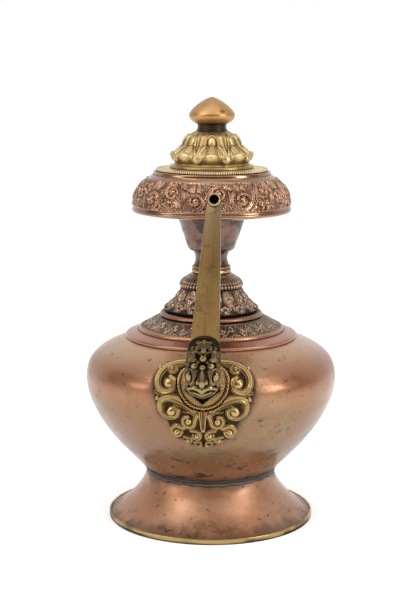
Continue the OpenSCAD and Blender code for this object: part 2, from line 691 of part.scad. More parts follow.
module spout_nozzle() {
  p = path_at(path_len);
  ring_w = 1.2;
  ring_t = 1.6;
  translate([path_x(path_len), -p[0], p[1]]) rotate([90 - outlet_rise, 0, 0]) translate([0, 0, gap])
    color(brass) turned([[outlet_r, 0], [outlet_r + ring_w, 0], [outlet_r + ring_w, 0.6*ring_t],
      [outlet_r + 0.6*ring_w, ring_t], [outlet_r, ring_t]]);
}

module lid_flange() {
  round_r = 0.4;
  color(brass) turned([[stem_r + gap, z_flange], [flange_r - round_r, z_flange],
    [flange_r, z_flange + round_r], [flange_r, z_flange + flange_h - round_r],
    [flange_r - round_r, z_flange + flange_h],
    [stem_r + gap, z_flange + flange_h]]);
}

module lid_sleeve() {
  wall = 1.2;
  out_r = mouth_bore_r - lid_play;
  color(brass) turned([[out_r - wall, z_flange - gap - sleeve_h], [out_r, z_flange - gap - sleeve_h],
    [out_r, z_flange - gap], [out_r - wall, z_flange - gap]]);
}

module lid_base_ring() {
  width = 6;
  side = [[base_r - 0.8, z_base], [base_r + 0.4, z_base + 0.2*base_h], [base_r + 0.3, z_base + 0.9*base_h],
    [base_r - 1.2, z_base + base_h]];
  color(brass) turned(concat([[base_r - width, z_base]], curve(side, 8),
    [[base_r - width, z_base + base_h]]));
}

// One upright section of the lid's lotus: v deepens the valleys, s sets the small petals back
lotus_valley = 2.4;
lotus_set_back = 1.5;
lotus_tip_drop = 1.6;
lotus_steps = 8;
lotus_side = [[lotus_r, z_lotus + 0.3*lotus_h], [0.534*lotus_r, z_lotus + 0.85*lotus_h],
  [0.895*lotus_r, z_lotus + 0.29*lotus_h], [0.6*lotus_r, z_lotus + 0.95*lotus_h]];
function lotus_petal(i, v, s) =
  let(p = bez(lotus_side, i/lotus_steps), fade = 1 - 0.6*i/lotus_steps, tip = i == 0 ? 1 : 0)
  [p[0] - v*lotus_valley*fade - s*lotus_set_back*sin(180*i/lotus_steps), p[1] - s*lotus_tip_drop*tip];
function lotus_section(a) =
  let(v = wave(2*lid_petals*a), s = wave(lid_petals*a), cut = v*lotus_valley)
  concat([[lotus_r - 3.4, z_lotus], [lotus_r - 1.8 - cut/4, z_lotus],
      [lotus_r - 0.6 - cut, z_lotus + 0.1*lotus_h + cut/3],
      [lotus_r - cut - 0.3*s, z_lotus + 0.18*lotus_h + cut/3]],
    [for (i = [0:lotus_steps]) lotus_petal(i, v, s)],
    [[0.5*lotus_r, z_lotus + lotus_h], [0.34*lotus_r, z_lotus + lotus_h],
      [0.4*lotus_r, z_lotus + 0.74*lotus_h], [0.72*lotus_r, z_lotus + 0.2*lotus_h]]);

module lid_lotus() {
  turns = 12*lid_petals;
  color(brass) rotate([0, 0, lid_turn])
    ring_solid([for (j = [0:turns - 1]) spun(lotus_section(360*j/turns), 360*j/turns)]);
}

module lid_collar() {
  top_z = z_dark + collar_top_h;
  lip = 1.2;
  side = [[collar_top_r + lip, z_dark], [collar_top_r - 0.4, z_dark + 0.3*collar_top_h],
    [collar_top_r - 0.4, z_dark + 0.7*collar_top_h], [collar_top_r + 0.4, top_z]];
  color(bronze) turned(concat([[stem_r + gap, z_dark]], curve(side, 8), [[stem_r + gap, top_z]]));
}

module lid_knob() {
  wide_z = z_knob + 0.32*knob_h;
  top_z = z_knob + knob_h;
  tip_r = 1.2;
  under = [[collar_top_r + 0.4, z_knob], [0.83*knob_r, z_knob + 0.04*knob_h], [knob_r, z_knob + 0.18*knob_h],
    [knob_r, wide_z]];
  over = [[knob_r, wide_z], [knob_r, wide_z + 0.19*knob_h], [0.47*knob_r, z_knob + 0.88*knob_h],
    [tip_r, top_z - 0.1]];
  bore_z = z_knob + 0.5*knob_h + gap;
  color(brass) turned(concat([[stem_r + gap, z_knob]], curve(under, 8), [for (i = [1:14]) bez(over, i/14)],
    [[0, top_z], [0, bore_z], [stem_r + gap, bore_z]]));
}

// Stem through knob, collar and flange, peened over the washer
washer_h = 1.2;
head_h = 1.8;
washer_top = z_flange - gap;

module knob_stem() {
  head_r = stem_r + 2.2;
  top_z = z_knob + 0.5*knob_h;
  head_z = washer_top - washer_h - gap - head_h;
  color(bronze) turned([[0, head_z], [head_r - 1, head_z], [head_r, head_z + 0.6*head_h],
    [head_r, head_z + head_h], [stem_r, head_z + head_h], [stem_r, top_z], [0, top_z]]);
}

module stem_washer() {
  out_r = stem_r + 4;
  color(brass) turned([[stem_r + gap, washer_top - washer_h], [out_r, washer_top - washer_h],
    [out_r, washer_top], [stem_r + gap, washer_top]]);
}

foot_rim();
foot();
foot_solder();
body_bowl();
body_shoulder();
shoulder_step();
shoulder_plate();
shoulder_ring();
lotus_cone();
bead_collar();
neck_ring();
neck();
cup();
rim_underplate();
rim_dome();
mouth_ring();
escutcheon();
rope_ring();
spout_boss();
spout_tube();
makara_head();
spout_nozzle();
lid_flange();
lid_sleeve();
lid_base_ring();
lid_lotus();
lid_collar();
lid_knob();
knob_stem();
stem_washer();
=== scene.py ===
"""Tibetan bumpa vase: the looks of each piece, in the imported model's frame (metres, Z up, spout to -Y)."""

import math

import bmesh
import bpy
import numpy as np
from mathutils import Matrix, Vector


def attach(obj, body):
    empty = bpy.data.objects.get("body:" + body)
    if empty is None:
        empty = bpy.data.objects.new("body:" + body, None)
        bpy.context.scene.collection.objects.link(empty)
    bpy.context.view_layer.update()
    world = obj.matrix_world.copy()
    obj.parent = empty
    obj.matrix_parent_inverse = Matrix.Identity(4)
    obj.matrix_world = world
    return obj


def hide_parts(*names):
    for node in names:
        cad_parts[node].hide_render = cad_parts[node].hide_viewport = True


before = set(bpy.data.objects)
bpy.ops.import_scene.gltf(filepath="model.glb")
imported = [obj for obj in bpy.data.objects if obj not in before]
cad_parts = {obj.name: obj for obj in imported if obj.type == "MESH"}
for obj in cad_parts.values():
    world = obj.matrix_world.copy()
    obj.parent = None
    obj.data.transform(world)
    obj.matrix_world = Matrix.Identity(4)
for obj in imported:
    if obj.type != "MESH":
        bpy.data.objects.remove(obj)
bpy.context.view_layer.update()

MM = 0.001
TAU = 2*math.pi

# Sizes of the solids, in millimetres, as in the part's source
FOOT_H, FOOT_R, FOOT_TOP_R, FOOT_EDGE_Z = 35.0, 71.5, 45.6, 3.5
BODY_R, BELLY_H, SHOULDER_H, SLOPE = 88.9, 68.9, 26.7, math.radians(23)
GAP, SHEET, RIM_SHEET = 0.1, 1.5, 1.4
Z_BODY = FOOT_H + GAP
Z_BELLY = Z_BODY + BELLY_H
Z_SHOULDER = Z_BELLY + SHOULDER_H
BODY_MOUTH_R, PLATE_R, STEP_R = 50.0, 51.7, 60.7
SHOULDER_R = STEP_R + 1.3
STEP_H, PLATE_H, PLATE_EDGE_H, RING_R, RING_H = 2.5, 9.4, 1.8, 36.4, 3.6
CONE_R, CONE_TOP_R, CONE_H, CONE_PETALS = 33.8, 21.8, 16.6, 16
COLLAR_R, COLLAR_H, GADROONS = 22.5, 10.1, 54
BEAD_R, BEAD_H, NECK_BORE, NECK_R, NECK_H = 13.9, 5.5, 9.6, 11.2, 10.3
CUP_R, CUP_LOW_R, CUP_H = 23.6, 17.0, 23.2
DOME_R, DOME_H, LIP_OUT, UNDER_H = 55.6, 23.3, 0.4, 7.2
MOUTH_R, MOUTH_BORE, MOUTH_H = 41.6, 34.2, 2.3
FLANGE_R, FLANGE_H, LID_PLAY, SLEEVE_H = 39.2, 1.6, 0.5, 9.0
BASE_R, BASE_H, LOTUS_R, LOTUS_H, LID_PETALS = 29.4, 2.4, 28.5, 23.1, 8
LID_TURN = math.radians(3)
DARK_R, DARK_H, KNOB_R, KNOB_H, STEM_R = 10.2, 5.1, 15.9, 18.2, 3.0


def shoulder_at(r):
    return Z_SHOULDER + (SHOULDER_R - r)*math.tan(SLOPE)


Z_PLATE = shoulder_at(BODY_MOUTH_R) + 0.8
Z_RING = Z_PLATE + PLATE_H + GAP
Z_CONE = Z_RING + RING_H + GAP
Z_COLLAR = Z_CONE + CONE_H + GAP
Z_BEAD = Z_COLLAR + COLLAR_H + GAP
Z_NECK = Z_BEAD + BEAD_H + GAP
Z_CUP = Z_NECK + NECK_H + GAP
Z_UNDER = Z_CUP + CUP_H + GAP
Z_DOME = Z_UNDER + UNDER_H + GAP
Z_MOUTH = Z_DOME + DOME_H
Z_FLANGE = Z_MOUTH + MOUTH_H + 0.3
Z_BASE = Z_FLANGE + FLANGE_H + GAP
Z_LOTUS = Z_BASE + BASE_H + GAP
Z_DARK = Z_LOTUS + LOTUS_H + GAP
Z_KNOB = Z_DARK + DARK_H + GAP


# Curves and sections
def bez(p, t):
    p = np.asarray(p, float)
    t = np.asarray(t, float)[..., None]
    return (1 - t)**3*p[0] + 3*t*(1 - t)**2*p[1] + 3*t*t*(1 - t)*p[2] + t**3*p[3]


def bez_dir(p, t):
    p = np.asarray(p, float)
    t = np.asarray(t, float)[..., None]
    d = (1 - t)**2*(p[1] - p[0]) + 2*t*(1 - t)*(p[2] - p[1]) + t*t*(p[3] - p[2])
    return d/np.linalg.norm(d, axis=-1, keepdims=True)


def right(d):
    return np.stack([d[..., 1], -d[..., 0]], -1)


def beside(p, t, d):
    """Points d to the right of the curve."""
    return bez(p, t) + np.asarray(d, float)[..., None]*right(bez_dir(p, t))


def curve(p, n, d=0.0):
    t = np.linspace(0, 1, n + 1)
    return beside(p, t, np.full(n + 1, d))


def at(r, z, height, *points):
    """Points given as the way out from the radius r and the part of the height above z."""
    return [[r + out, z + part*height] for out, part in points]


def section(bore, *faces):
    """A closed section: its face follows the curves, and its back is straight at the bore."""
    face = np.concatenate(faces)
    return np.concatenate([[[bore, face[0, 1]]], face, [[bore, face[-1, 1]]]])


def moulding(bore, r, z, height, steps, *points):
    """The section of a turned ring whose face is one curve, its points given as in at()."""
    return section(bore, curve(at(r, z, height, *points), steps))


def lengths(points):
    """The way along a line of points to each of them."""
    return np.concatenate([[0], np.cumsum(np.linalg.norm(np.diff(points, axis=0), axis=1))])


def smooth(a, b, x):
    t = np.clip((x - a)/(b - a), 0, 1)
    return t*t*(3 - 2*t)


def gauss(d, w):
    return np.exp(-(d/w)**2)


def wave(x):
    return 0.5 + 0.5*np.cos(x)


def outline(points, radius, steps, gap):
    """A closed outline with small arcs for its sharp corners and points no wider apart than the gap."""
    pts = np.asarray(points, float)
    eased = []
    for i in range(len(pts)):
        a, b, c = pts[i - 1], pts[i], pts[(i + 1) % len(pts)]
        u, v = a - b, c - b
        lu, lv = np.linalg.norm(u), np.linalg.norm(v)
        cosang = float(np.clip(np.dot(u, v)/(lu*lv), -1, 1))
        if cosang < -0.9 or b[0] < 1e-6:
            eased.append(b)
            continue
        r = min(radius, 0.42*lu, 0.42*lv)
        p0, p1 = b + u/lu*r, b + v/lv*r
        for k in range(steps + 1):
            t = k/steps
            eased.append((1 - t)**2*p0 + 2*t*(1 - t)*b + t*t*p1)
    out = []
    for a, b in zip(eased, eased[1:] + eased[:1]):
        k = max(1, int(math.ceil(np.linalg.norm(b - a)/gap)))
        out += [a + (b - a)*j/k for j in range(k)]
    return np.array(out)


def wobble(u, v, size, seed, waves=7):
    """Smooth seeded unevenness over two coordinates; u is an angle, so it closes on itself."""
    g = np.random.default_rng(seed)
    h = np.zeros(np.broadcast(u, v).shape)
    for k in range(1, waves + 1):
        h += np.sin(g.integers(1, 3 + 2*k)*u + g.uniform(-0.16, 0.16)*k*v + g.uniform(0, TAU))/k**0.6
    return size*h/2.2


# Pieces
def add_piece(name, verts, faces, finish, relief, grime_and_shade=0.0, sharp=38, weld=False, body="vase", nodes=None):
    """A visible piece; it stands for the nodes given, or for the one that it is named after."""
    slot, mat = finish
    mesh = bpy.data.meshes.new(name)
    mesh.from_pydata((verts.reshape(-1, 3)*MM).tolist(), [], faces.tolist())
    for key, values in (("relief", relief), ("grime_and_shade", np.broadcast_to(grime_and_shade, relief.shape))):
        layer = mesh.attributes.new(key, "FLOAT", "POINT")
        layer.data.foreach_set("value", np.asarray(values, np.float32).ravel())
    if weld:
        bm = bmesh.new()
        bm.from_mesh(mesh)
        bmesh.ops.remove_doubles(bm, verts=bm.verts, dist=1e-7)
        bm.to_mesh(mesh)
        bm.free()
    mesh.validate()
    mesh.update()
    mesh.polygons.foreach_set("use_smooth", np.ones(len(mesh.polygons), bool))
    mesh.set_sharp_from_angle(angle=math.radians(sharp))
    obj = bpy.data.objects.new(name, mesh)
    bpy.context.scene.collection.objects.link(obj)
    mesh.materials.append(mat)
    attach(obj, body)
    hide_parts(*(nodes or (name[len("vis_"):],)))


def ring_quads(n, m):
    """Faces of a closed skin made of n closed rows with m points each."""
    j, k = np.meshgrid(np.arange(n), np.arange(m), indexing="ij")
    j2, k2 = (j + 1) % n, (k + 1) % m
    return np.stack([j*m + k, j2*m + k, j2*m + k2, j*m + k2], -1).reshape(-1, 4)


def outward(path):
    """Normals of a closed section, away from its inside."""
    d = np.roll(path, -1, 0) - np.roll(path, 1, 0)
    d /= np.maximum(np.linalg.norm(d, axis=1, keepdims=True), 1e-9)
    return right(d)


def angles(n):
    return np.arange(n)*TAU/n


def signed(a):
    return np.where(a > math.pi, a - TAU, a)


def spun(sec, a):
    """Points given as radius and height, turned to the angle a from the front."""
    return np.stack([sec[..., 0]*np.sin(a), -sec[..., 0]*np.cos(a), sec[..., 1]], -1)


def around(n, path):
    """The angles of a turned section's copies, and the radius and height of its points."""
    return angles(n)[:, None], path[None, :, 0], path[None, :, 1]


def turned(name, path, finish, n, disp=0.0, relief=0.6, grime_and_shade=0.0, turn=0.0, **kind):
    """A closed section turned round the axis; disp moves its points along the section's own normals."""
    shape = (n, len(path))
    disp, relief = np.broadcast_to(disp, shape), np.broadcast_to(relief, shape)
    sec = path[None] + disp[..., None]*outward(path)[None]
    add_piece(name, spun(sec, angles(n)[:, None] + turn), ring_quads(*shape), finish, relief, grime_and_shade, **kind)


# Chased ornament: strokes are lines with a width and a height that vary along them
class Strokes:
    def __init__(self, fluted=0.0):
        self.items = []
        self.fluted = fluted

    def line(self, pts, width, height, groove=0.0):
        pts = np.asarray(pts, float)
        w = np.broadcast_to(np.asarray(width, float), (len(pts),))
        h = np.broadcast_to(np.asarray(height, float), (len(pts),))
        self.items.append((pts, w, h, groove))

    def balls(self, *items):
        """Each one: place x y, radius, height."""
        for x, y, r, h in items:
            self.line([(x, y)], r, h)

    def spiral(self, x, y, r0, r1, start, turns, w0, w1, h, groove=0.35, n=64):
        t = np.linspace(0, 1, n)
        a = start + turns*TAU*t
        r = r0 + (r1 - r0)*t**0.85
        self.line(np.stack([x + r*np.cos(a), y + r*np.sin(a)], -1), w0 + (w1 - w0)*t, h, groove)

    def leaves(self, *items, groove=0.5, n=22):
        """Each one: root x y, tip x y, bend, width, height."""
        t = np.linspace(0, 1, n)
        plump = 0.25 + np.sin(math.pi*np.clip(t*0.94 + 0.03, 0, 1))**0.8
        for x0, y0, x1, y1, bend, width, h in items:
            d = np.array([x1 - x0, y1 - y0], float)
            side = np.array([-d[1], d[0]])
            pts = np.array([x0, y0], float) + d*t[:, None] + side*(bend*4*t*(1 - t))[:, None]
            self.line(pts, width*plump, h*(0.65 + 0.35*t), groove)

    def arc(self, pts, w0, w1, h, groove=0.35, n=48):
        t = np.linspace(0, 1, n)
        self.line(bez(pts, t), w0 + (w1 - w0)*t, h, groove)

    def through(self, pts, w0, w1, h, groove=0.35, n=90):
        """A stroke that runs smoothly through the given points."""
        p = np.asarray(pts, float)
        p = np.concatenate([[2*p[0] - p[1]], p, [2*p[-1] - p[-2]]])
        t = np.linspace(0, len(pts) - 1 - 1e-6, n)
        i = t.astype(int)
        x = (t - i)[:, None]
        a, b, c, d = p[i], p[i + 1], p[i + 2], p[i + 3]
        q = 0.5*(2*b + (c - a)*x + (2*a - 5*b + 4*c - d)*x**2 + (3*b - a - 3*c + d)*x**3)
        self.line(q, w0 + (w1 - w0)*t/t[-1], h, groove)

    def mirrored(self):
        out = Strokes(self.fluted)
        for pts, w, h, groove in self.items:
            out.items += [(pts, w, h, groove), (pts*np.array([-1.0, 1.0]), w, h, groove)]
        return out

    def moved(self, dx, dy, k):
        out = Strokes()
        out.items = [(pts*k + np.array([dx, dy]), w*k, h, groove) for pts, w, h, groove in self.items]
        return out

    def fuller(self, k):
        self.items = [(pts, w*k, h, groove) for pts, w, h, groove in self.items]
        return self

    def height(self, x, y):
        """Height of the highest stroke at each point."""
        shape = np.broadcast(x, y).shape
        fx = np.broadcast_to(x, shape).ravel()
        fy = np.broadcast_to(y, shape).ravel()
        out = np.zeros(fx.size)
        for pts, w, h, groove in self.items:
            reach = w.max()
            lo, hi = pts.min(0) - reach, pts.max(0) + reach
            near = np.nonzero((fx > lo[0]) & (fx < hi[0]) & (fy > lo[1]) & (fy < hi[1]))[0]
            if near.size == 0:
                continue
            dx = fx[near, None] - pts[None, :, 0]
            dy = fy[near, None] - pts[None, :, 1]
            q = np.sqrt(dx*dx + dy*dy)/w[None]
            i = q.argmin(1)
            q = q[np.arange(near.size), i]
            top = np.sqrt(np.clip(1 - q*q, 0, 1))
            if groove:
                top = top - (groove*gauss(q, 0.22) + self.fluted*gauss(q - 0.55, 0.12))*(q < 1)
            out[near] = np.maximum(out[near], h[i]*top)
        return out.reshape(shape)


def repeated(cell, count, u, v, width, jitter, seed):
    """Height of a stroke cell set round a band, each one a little different and over the next."""
    g = np.random.default_rng(seed)
    v = np.broadcast_to(v, (len(u), v.shape[-1]))
    h = np.zeros(v.shape)
    total = count*width
    for i in range(count):
        k = 1 + g.uniform(-0.5, 0.5)*jitter
        one = cell.moved(g.uniform(-1, 1)*jitter*2, g.uniform(-1, 1)*jitter*1.5, k)
        x = (u - i*width + total/2) % total - total/2
        rows = np.nonzero(np.abs(x[:, 0]) < 0.8*width)[0]
        h[rows] = np.maximum(h[rows], one.height(x[rows], v[rows]))
    return h


# Materials
class Finish:
    def __init__(self, name):
        self.mat = bpy.data.materials.new(name)
        self.mat.use_nodes = True
        self.tree = self.mat.node_tree
        self.tree.nodes.clear()
        out = self.node("OutputMaterial")
        self.bsdf = self.node("BsdfPrincipled")
        self.tree.links.new(self.bsdf.outputs[0], out.inputs[0])
        self.coord = self.node("TexCoord").outputs["Object"]

    def node(self, kind, **settings):
        made = self.tree.nodes.new("ShaderNode" + kind)
        for key, value in settings.items():
            setattr(made, key, value)
        return made

    def put(self, node, **values):
        """Links or sets inputs: i0 is the first, any other name is the input's own, with _ for a space."""
        for key, value in values.items():
            socket = node.inputs[int(key[1:]) if key[1:].isdigit() else key.replace("_", " ")]
            if isinstance(value, bpy.types.NodeSocket):
                self.tree.links.new(value, socket)
            elif isinstance(value, tuple) and len(value) == 3 and len(socket.default_value) == 4:
                socket.default_value = (*value, 1.0)
            else:
                socket.default_value = value

    def noise(self, scale, detail=4.0, rough=0.55, stretch=None, shift=0.0):
        vec = self.coord
        if stretch is not None or shift:
            m = self.node("Mapping")
            self.put(m, i0=vec, Location=(shift, 0.7*shift, 0.3*shift), Scale=stretch or (1, 1, 1))
            vec = m.outputs[0]
        n = self.node("TexNoise")
        self.put(n, Vector=vec, Scale=scale, Detail=detail, Roughness=rough)
        return n.outputs[0]

    def attribute(self, name):
        return self.node("Attribute", attribute_name=name).outputs["Fac"]

    def height(self):
        s = self.node("SeparateXYZ")
        self.put(s, i0=self.coord)
        return s.outputs[2]

    def ramp(self, fac, a, b):
        """0 below a, 1 above b (or the other way round where b < a)."""
        m = self.node("MapRange", interpolation_type="SMOOTHSTEP")
        rising = a < b
        self.put(m, i0=fac, i1=min(a, b), i2=max(a, b), i3=0.0 if rising else 1.0,
                 i4=1.0 if rising else 0.0)
        return m.outputs[0]

    def calc(self, op, a, b):
        m = self.node("Math", operation=op, use_clamp=op in ("ADD", "SUBTRACT"))
        self.put(m, i0=a, i1=b)
        return m.outputs[0]

    def times(self, a, b):
        return self.calc("MULTIPLY", a, b)

    def plus(self, a, b):
        return self.calc("ADD", a, b)

    def mix(self, fac, a, b):
        m = self.node("Mix", data_type="RGBA")
        self.put(m, i0=fac, i6=a, i7=b)
        return m.outputs[2]

    def blend(self, fac, a, b):
        m = self.node("Mix", data_type="FLOAT")
        self.put(m, i0=fac, i2=a, i3=b)
        return m.outputs[0]

    def bump(self, height, strength, distance):
        b = self.node("Bump")
        self.put(b, Strength=strength, Distance=distance, Height=height)
        self.put(self.bsdf, Normal=b.outputs[0])

    def done(self, color, rough, metal):
        self.put(self.bsdf, Base_Color=color, Roughness=rough, Metallic=metal)
        return self.mat


VERDIGRIS = (0.23, 0.22, 0.10)


def aged_metal(slot, name, rough, base, warm, dark, recess, relief_at=(0.15, 0.6), patina=0.5, pits=0.3,
               green=0.0, tips=None, shift=0.0, coat=0.0, flecks=None, pale=None, haze=None, metal=1.0,
               specks=0.0, bands=()):
    """Worn metal: clouds of tone, dark patina, pits, verdigris; soiling and patina with painted shade in
    recesses and on marks each piece sets, wear with a painted highlight on high places.
    """
    f = Finish(name)
    clouds = f.noise(26, 5, 0.6, shift=shift)
    fine = f.noise(210, 4, 0.6, shift=shift + 1)
    spots = f.noise(520, 2, 0.5, shift=shift + 2)
    patches = f.noise(11, 3, 0.5, shift=shift + 3)
    relief, grime_and_shade = f.attribute("relief"), f.attribute("grime_and_shade")
    color = f.mix(f.ramp(clouds, 0.35, 0.68), base, warm)
    stain = f.ramp(f.times(clouds, f.noise(70, 6, 0.65, shift=shift + 4)), 0.24, 0.4)
    color = f.mix(f.times(stain, patina), color, dark)
    if haze is not None:
        color = f.mix(f.times(f.ramp(f.noise(17, 4, 0.6, shift=shift + 7), 0.4, 0.66), 0.7), color, haze)
    if pale is not None:
        color = f.mix(f.times(f.ramp(f.height(), pale[0], pale[1]), 0.8), color, pale[2])
    for z0, z1, z2, z3, tone, amount in bands:
        zone = f.times(f.ramp(f.height(), z0, z1), f.ramp(f.height(), z3, z2))
        color = f.mix(f.times(zone, amount), color, tone)
    if tips is not None:
        # High relief turns lighter, wear with a painted highlight; recesses and the marks each piece sets
        # turn darker, soiling and patina with painted shade
        color = f.mix(f.times(f.ramp(relief, 0.72, 0.95), 0.8), color, tips)
    low = f.ramp(f.plus(relief, f.times(fine, 0.12)), relief_at[1] + 0.06, relief_at[0] + 0.06)
    dirt_and_shade = f.plus(low, grime_and_shade)
    if green:
        where = f.ramp(patches, 0.5, 0.64)
        where = f.times(where, f.ramp(f.noise(95, 6, 0.7, shift=shift + 5), 0.45, 0.62))
        color = f.mix(f.times(where, green), color, VERDIGRIS)
    color = f.mix(dirt_and_shade, color, recess)
    pit = f.times(f.ramp(spots, 0.63, 0.70), f.times(f.ramp(patches, 0.36, 0.62), pits))
    if flecks is not None:
        lo, hi, amount = flecks
        marks = f.ramp(f.noise(78, 5, 0.62, stretch=(1, 1, 2.2), shift=shift + 6), 0.57, 0.61)
        pit = f.plus(pit, f.times(f.times(marks, f.ramp(f.height(), hi, lo)), amount))
    if specks:
        dots = f.ramp(f.noise(150, 4, 0.6, stretch=(1, 1, 1.6), shift=shift + 9), 0.63, 0.67)
        pit = f.plus(pit, f.times(dots, specks))
    color = f.mix(pit, color, recess)
    r = f.blend(f.ramp(clouds, 0.3, 0.7), rough - 0.05, rough + 0.07)
    r = f.blend(dirt_and_shade, r, min(rough + 0.28, 0.8))
    f.bump(f.plus(f.times(fine, 0.4), f.calc("SUBTRACT", 0.6, f.times(pit, 0.5))), 0.25, 0.0006)
    f.put(f.bsdf, Coat_Weight=coat, Coat_Roughness=0.24)
    return slot, f.done(color, r, metal)


# Each one: slot, name and roughness; base tone, warm tone, dark patina and the tone of recesses; the rest
# On the body the paler top of the shoulder is a painted highlight, the dark red band above the widest line a
# painted reflection, and the darker band over the belly painted shade
COPPER = aged_metal(
    "copper", "copper", 0.28,
    (0.28, 0.122, 0.058), (0.33, 0.158, 0.08), (0.155, 0.07, 0.036), (0.03, 0.018, 0.013),
    pits=0.6, green=0.3, coat=0.2, flecks=(0.045, 0.075, 0.9), haze=(0.31, 0.185, 0.102), metal=0.7,
    specks=0.6, pale=(0.119, 0.132, (0.44, 0.26, 0.15)),
    bands=((0.1, 0.109, 0.116, 0.125, (0.22, 0.08, 0.034), 0.55),
           (0.045, 0.065, 0.09, 0.104, (0.21, 0.121, 0.06), 0.75)))
FOOT_COPPER = aged_metal(
    "copper", "foot_copper", 0.41,
    (0.325, 0.15, 0.076), (0.39, 0.2, 0.108), (0.17, 0.09, 0.045), (0.04, 0.025, 0.017),
    pits=0.8, green=0.55, shift=3.0, coat=0.3, flecks=(0.002, 0.019, 0.5), haze=(0.36, 0.208, 0.12),
    metal=0.85, specks=0.8)
STEP_COPPER = aged_metal(
    "copper", "step_copper", 0.26,
    (0.30, 0.128, 0.068), (0.40, 0.19, 0.11), (0.14, 0.062, 0.036), (0.03, 0.018, 0.013),
    patina=0.55, pits=0.5, shift=4.0, coat=0.2)
CHASED = aged_metal(
    "copper", "chased_copper", 0.2,
    (0.275, 0.152, 0.095), (0.35, 0.2, 0.124), (0.16, 0.09, 0.056), (0.03, 0.018, 0.012),
    relief_at=(-0.1, 0.34), green=0.35, tips=(0.58, 0.385, 0.26), shift=5.0, coat=0.12)
# The rolled edge of the embossed plate is bare copper
LIP_LOW, LIP_TOP = MM*Z_PLATE, MM*(Z_PLATE + PLATE_EDGE_H)
DARK = aged_metal(
    "dark_copper", "dark_copper", 0.26,
    (0.182, 0.122, 0.083), (0.285, 0.187, 0.122), (0.085, 0.066, 0.05), (0.022, 0.017, 0.013),
    relief_at=(0.0, 0.4), patina=0.7, tips=(0.56, 0.385, 0.25), shift=7.0, coat=0.12,
    bands=((LIP_LOW - 0.001, LIP_LOW, LIP_TOP + 0.0004, LIP_TOP + 0.0008, (0.42, 0.195, 0.105), 0.85),))
CUP_COPPER = aged_metal(
    "dark_copper", "cup_copper", 0.28,
    (0.088, 0.056, 0.043), (0.19, 0.108, 0.071), (0.04, 0.033, 0.034), (0.02, 0.016, 0.016),
    patina=0.9, pits=0.35, shift=9.0, coat=0.3)
BRASS = aged_metal(
    "brass", "brass", 0.27,
    (0.35, 0.24, 0.10), (0.43, 0.31, 0.138), (0.19, 0.125, 0.05), (0.025, 0.016, 0.008),
    relief_at=(0.02, 0.42), tips=(0.52, 0.39, 0.19), shift=11.0)
PALE_BRASS = aged_metal(
    "brass", "pale_brass", 0.36,
    (0.60, 0.45, 0.235), (0.68, 0.53, 0.30), (0.28, 0.19, 0.085), (0.03, 0.02, 0.01),
    relief_at=(0.02, 0.42), tips=(0.76, 0.61, 0.37), shift=21.0, metal=0.8)
LOTUS_BRASS = aged_metal(
    "brass", "lotus_brass", 0.38,
    (0.36, 0.255, 0.11), (0.43, 0.32, 0.15), (0.21, 0.14, 0.055), (0.06, 0.04, 0.017),
    relief_at=(-0.04, 0.42), patina=0.7, pits=0.4, tips=(0.54, 0.42, 0.22), shift=25.0, metal=0.9)
SCROLL_BRASS = aged_metal(
    "brass", "scroll_brass", 0.25,
    (0.25, 0.158, 0.06), (0.33, 0.22, 0.088), (0.13, 0.08, 0.032), (0.04, 0.025, 0.011),
    relief_at=(0.06, 0.52), pits=0.25, tips=(0.46, 0.325, 0.145), shift=12.0)
BAND = aged_metal(
    "brass", "band_brass", 0.3,
    (0.38, 0.27, 0.11), (0.50, 0.36, 0.155), (0.19, 0.10, 0.05), (0.05, 0.02, 0.012),
    patina=0.75, pits=0.6, shift=13.0, flecks=(0.0, 0.004, 0.7))
SPOUT = aged_metal(
    "brass", "spout_brass", 0.29,
    (0.165, 0.096, 0.033), (0.215, 0.133, 0.049), (0.10, 0.06, 0.024), (0.03, 0.018, 0.01),
    relief_at=(0.1, 0.45), patina=0.85, pits=0.6, tips=(0.42, 0.30, 0.14), shift=15.0,
    flecks=(0.24, 0.27, 0.3), pale=(0.19, 0.245, (0.27, 0.19, 0.105)))
BRONZE = aged_metal(
    "bronze", "bronze", 0.2,
    (0.075, 0.053, 0.025), (0.115, 0.083, 0.039), (0.036, 0.027, 0.016), (0.012, 0.009, 0.006),
    relief_at=(-0.02, 0.44), pits=0.2, tips=(0.34, 0.25, 0.115), shift=17.0)
BLACK = aged_metal(
    "bronze", "black_bronze", 0.36,
    (0.03, 0.024, 0.02), (0.05, 0.038, 0.03), (0.018, 0.014, 0.012), (0.008, 0.006, 0.005),
    relief_at=(0.1, 0.5), tips=(0.16, 0.115, 0.06), shift=19.0)
KNOB = aged_metal(
    "brass", "knob_brass", 0.4,
    (0.40, 0.22, 0.088), (0.48, 0.29, 0.13), (0.20, 0.112, 0.05), (0.05, 0.03, 0.015),
    patina=0.6, pits=0.6, shift=21.0)
SOLDER = aged_metal(
    "solder", "solder", 0.48,
    (0.09, 0.082, 0.075), (0.14, 0.125, 0.11), (0.04, 0.036, 0.035), (0.015, 0.014, 0.014),
    relief_at=(0.0, 0.3), patina=0.7, pits=0.8, shift=23.0)

# Foot
foot_w, foot_rise = FOOT_R - FOOT_TOP_R, FOOT_H - FOOT_EDGE_Z
FOOT_LINE = [[FOOT_R, FOOT_EDGE_Z], [FOOT_R - 0.35*foot_w, FOOT_EDGE_Z + 0.14*foot_rise],
             [FOOT_TOP_R + 0.07*foot_w, FOOT_H - 0.45*foot_rise], [FOOT_TOP_R, FOOT_H]]


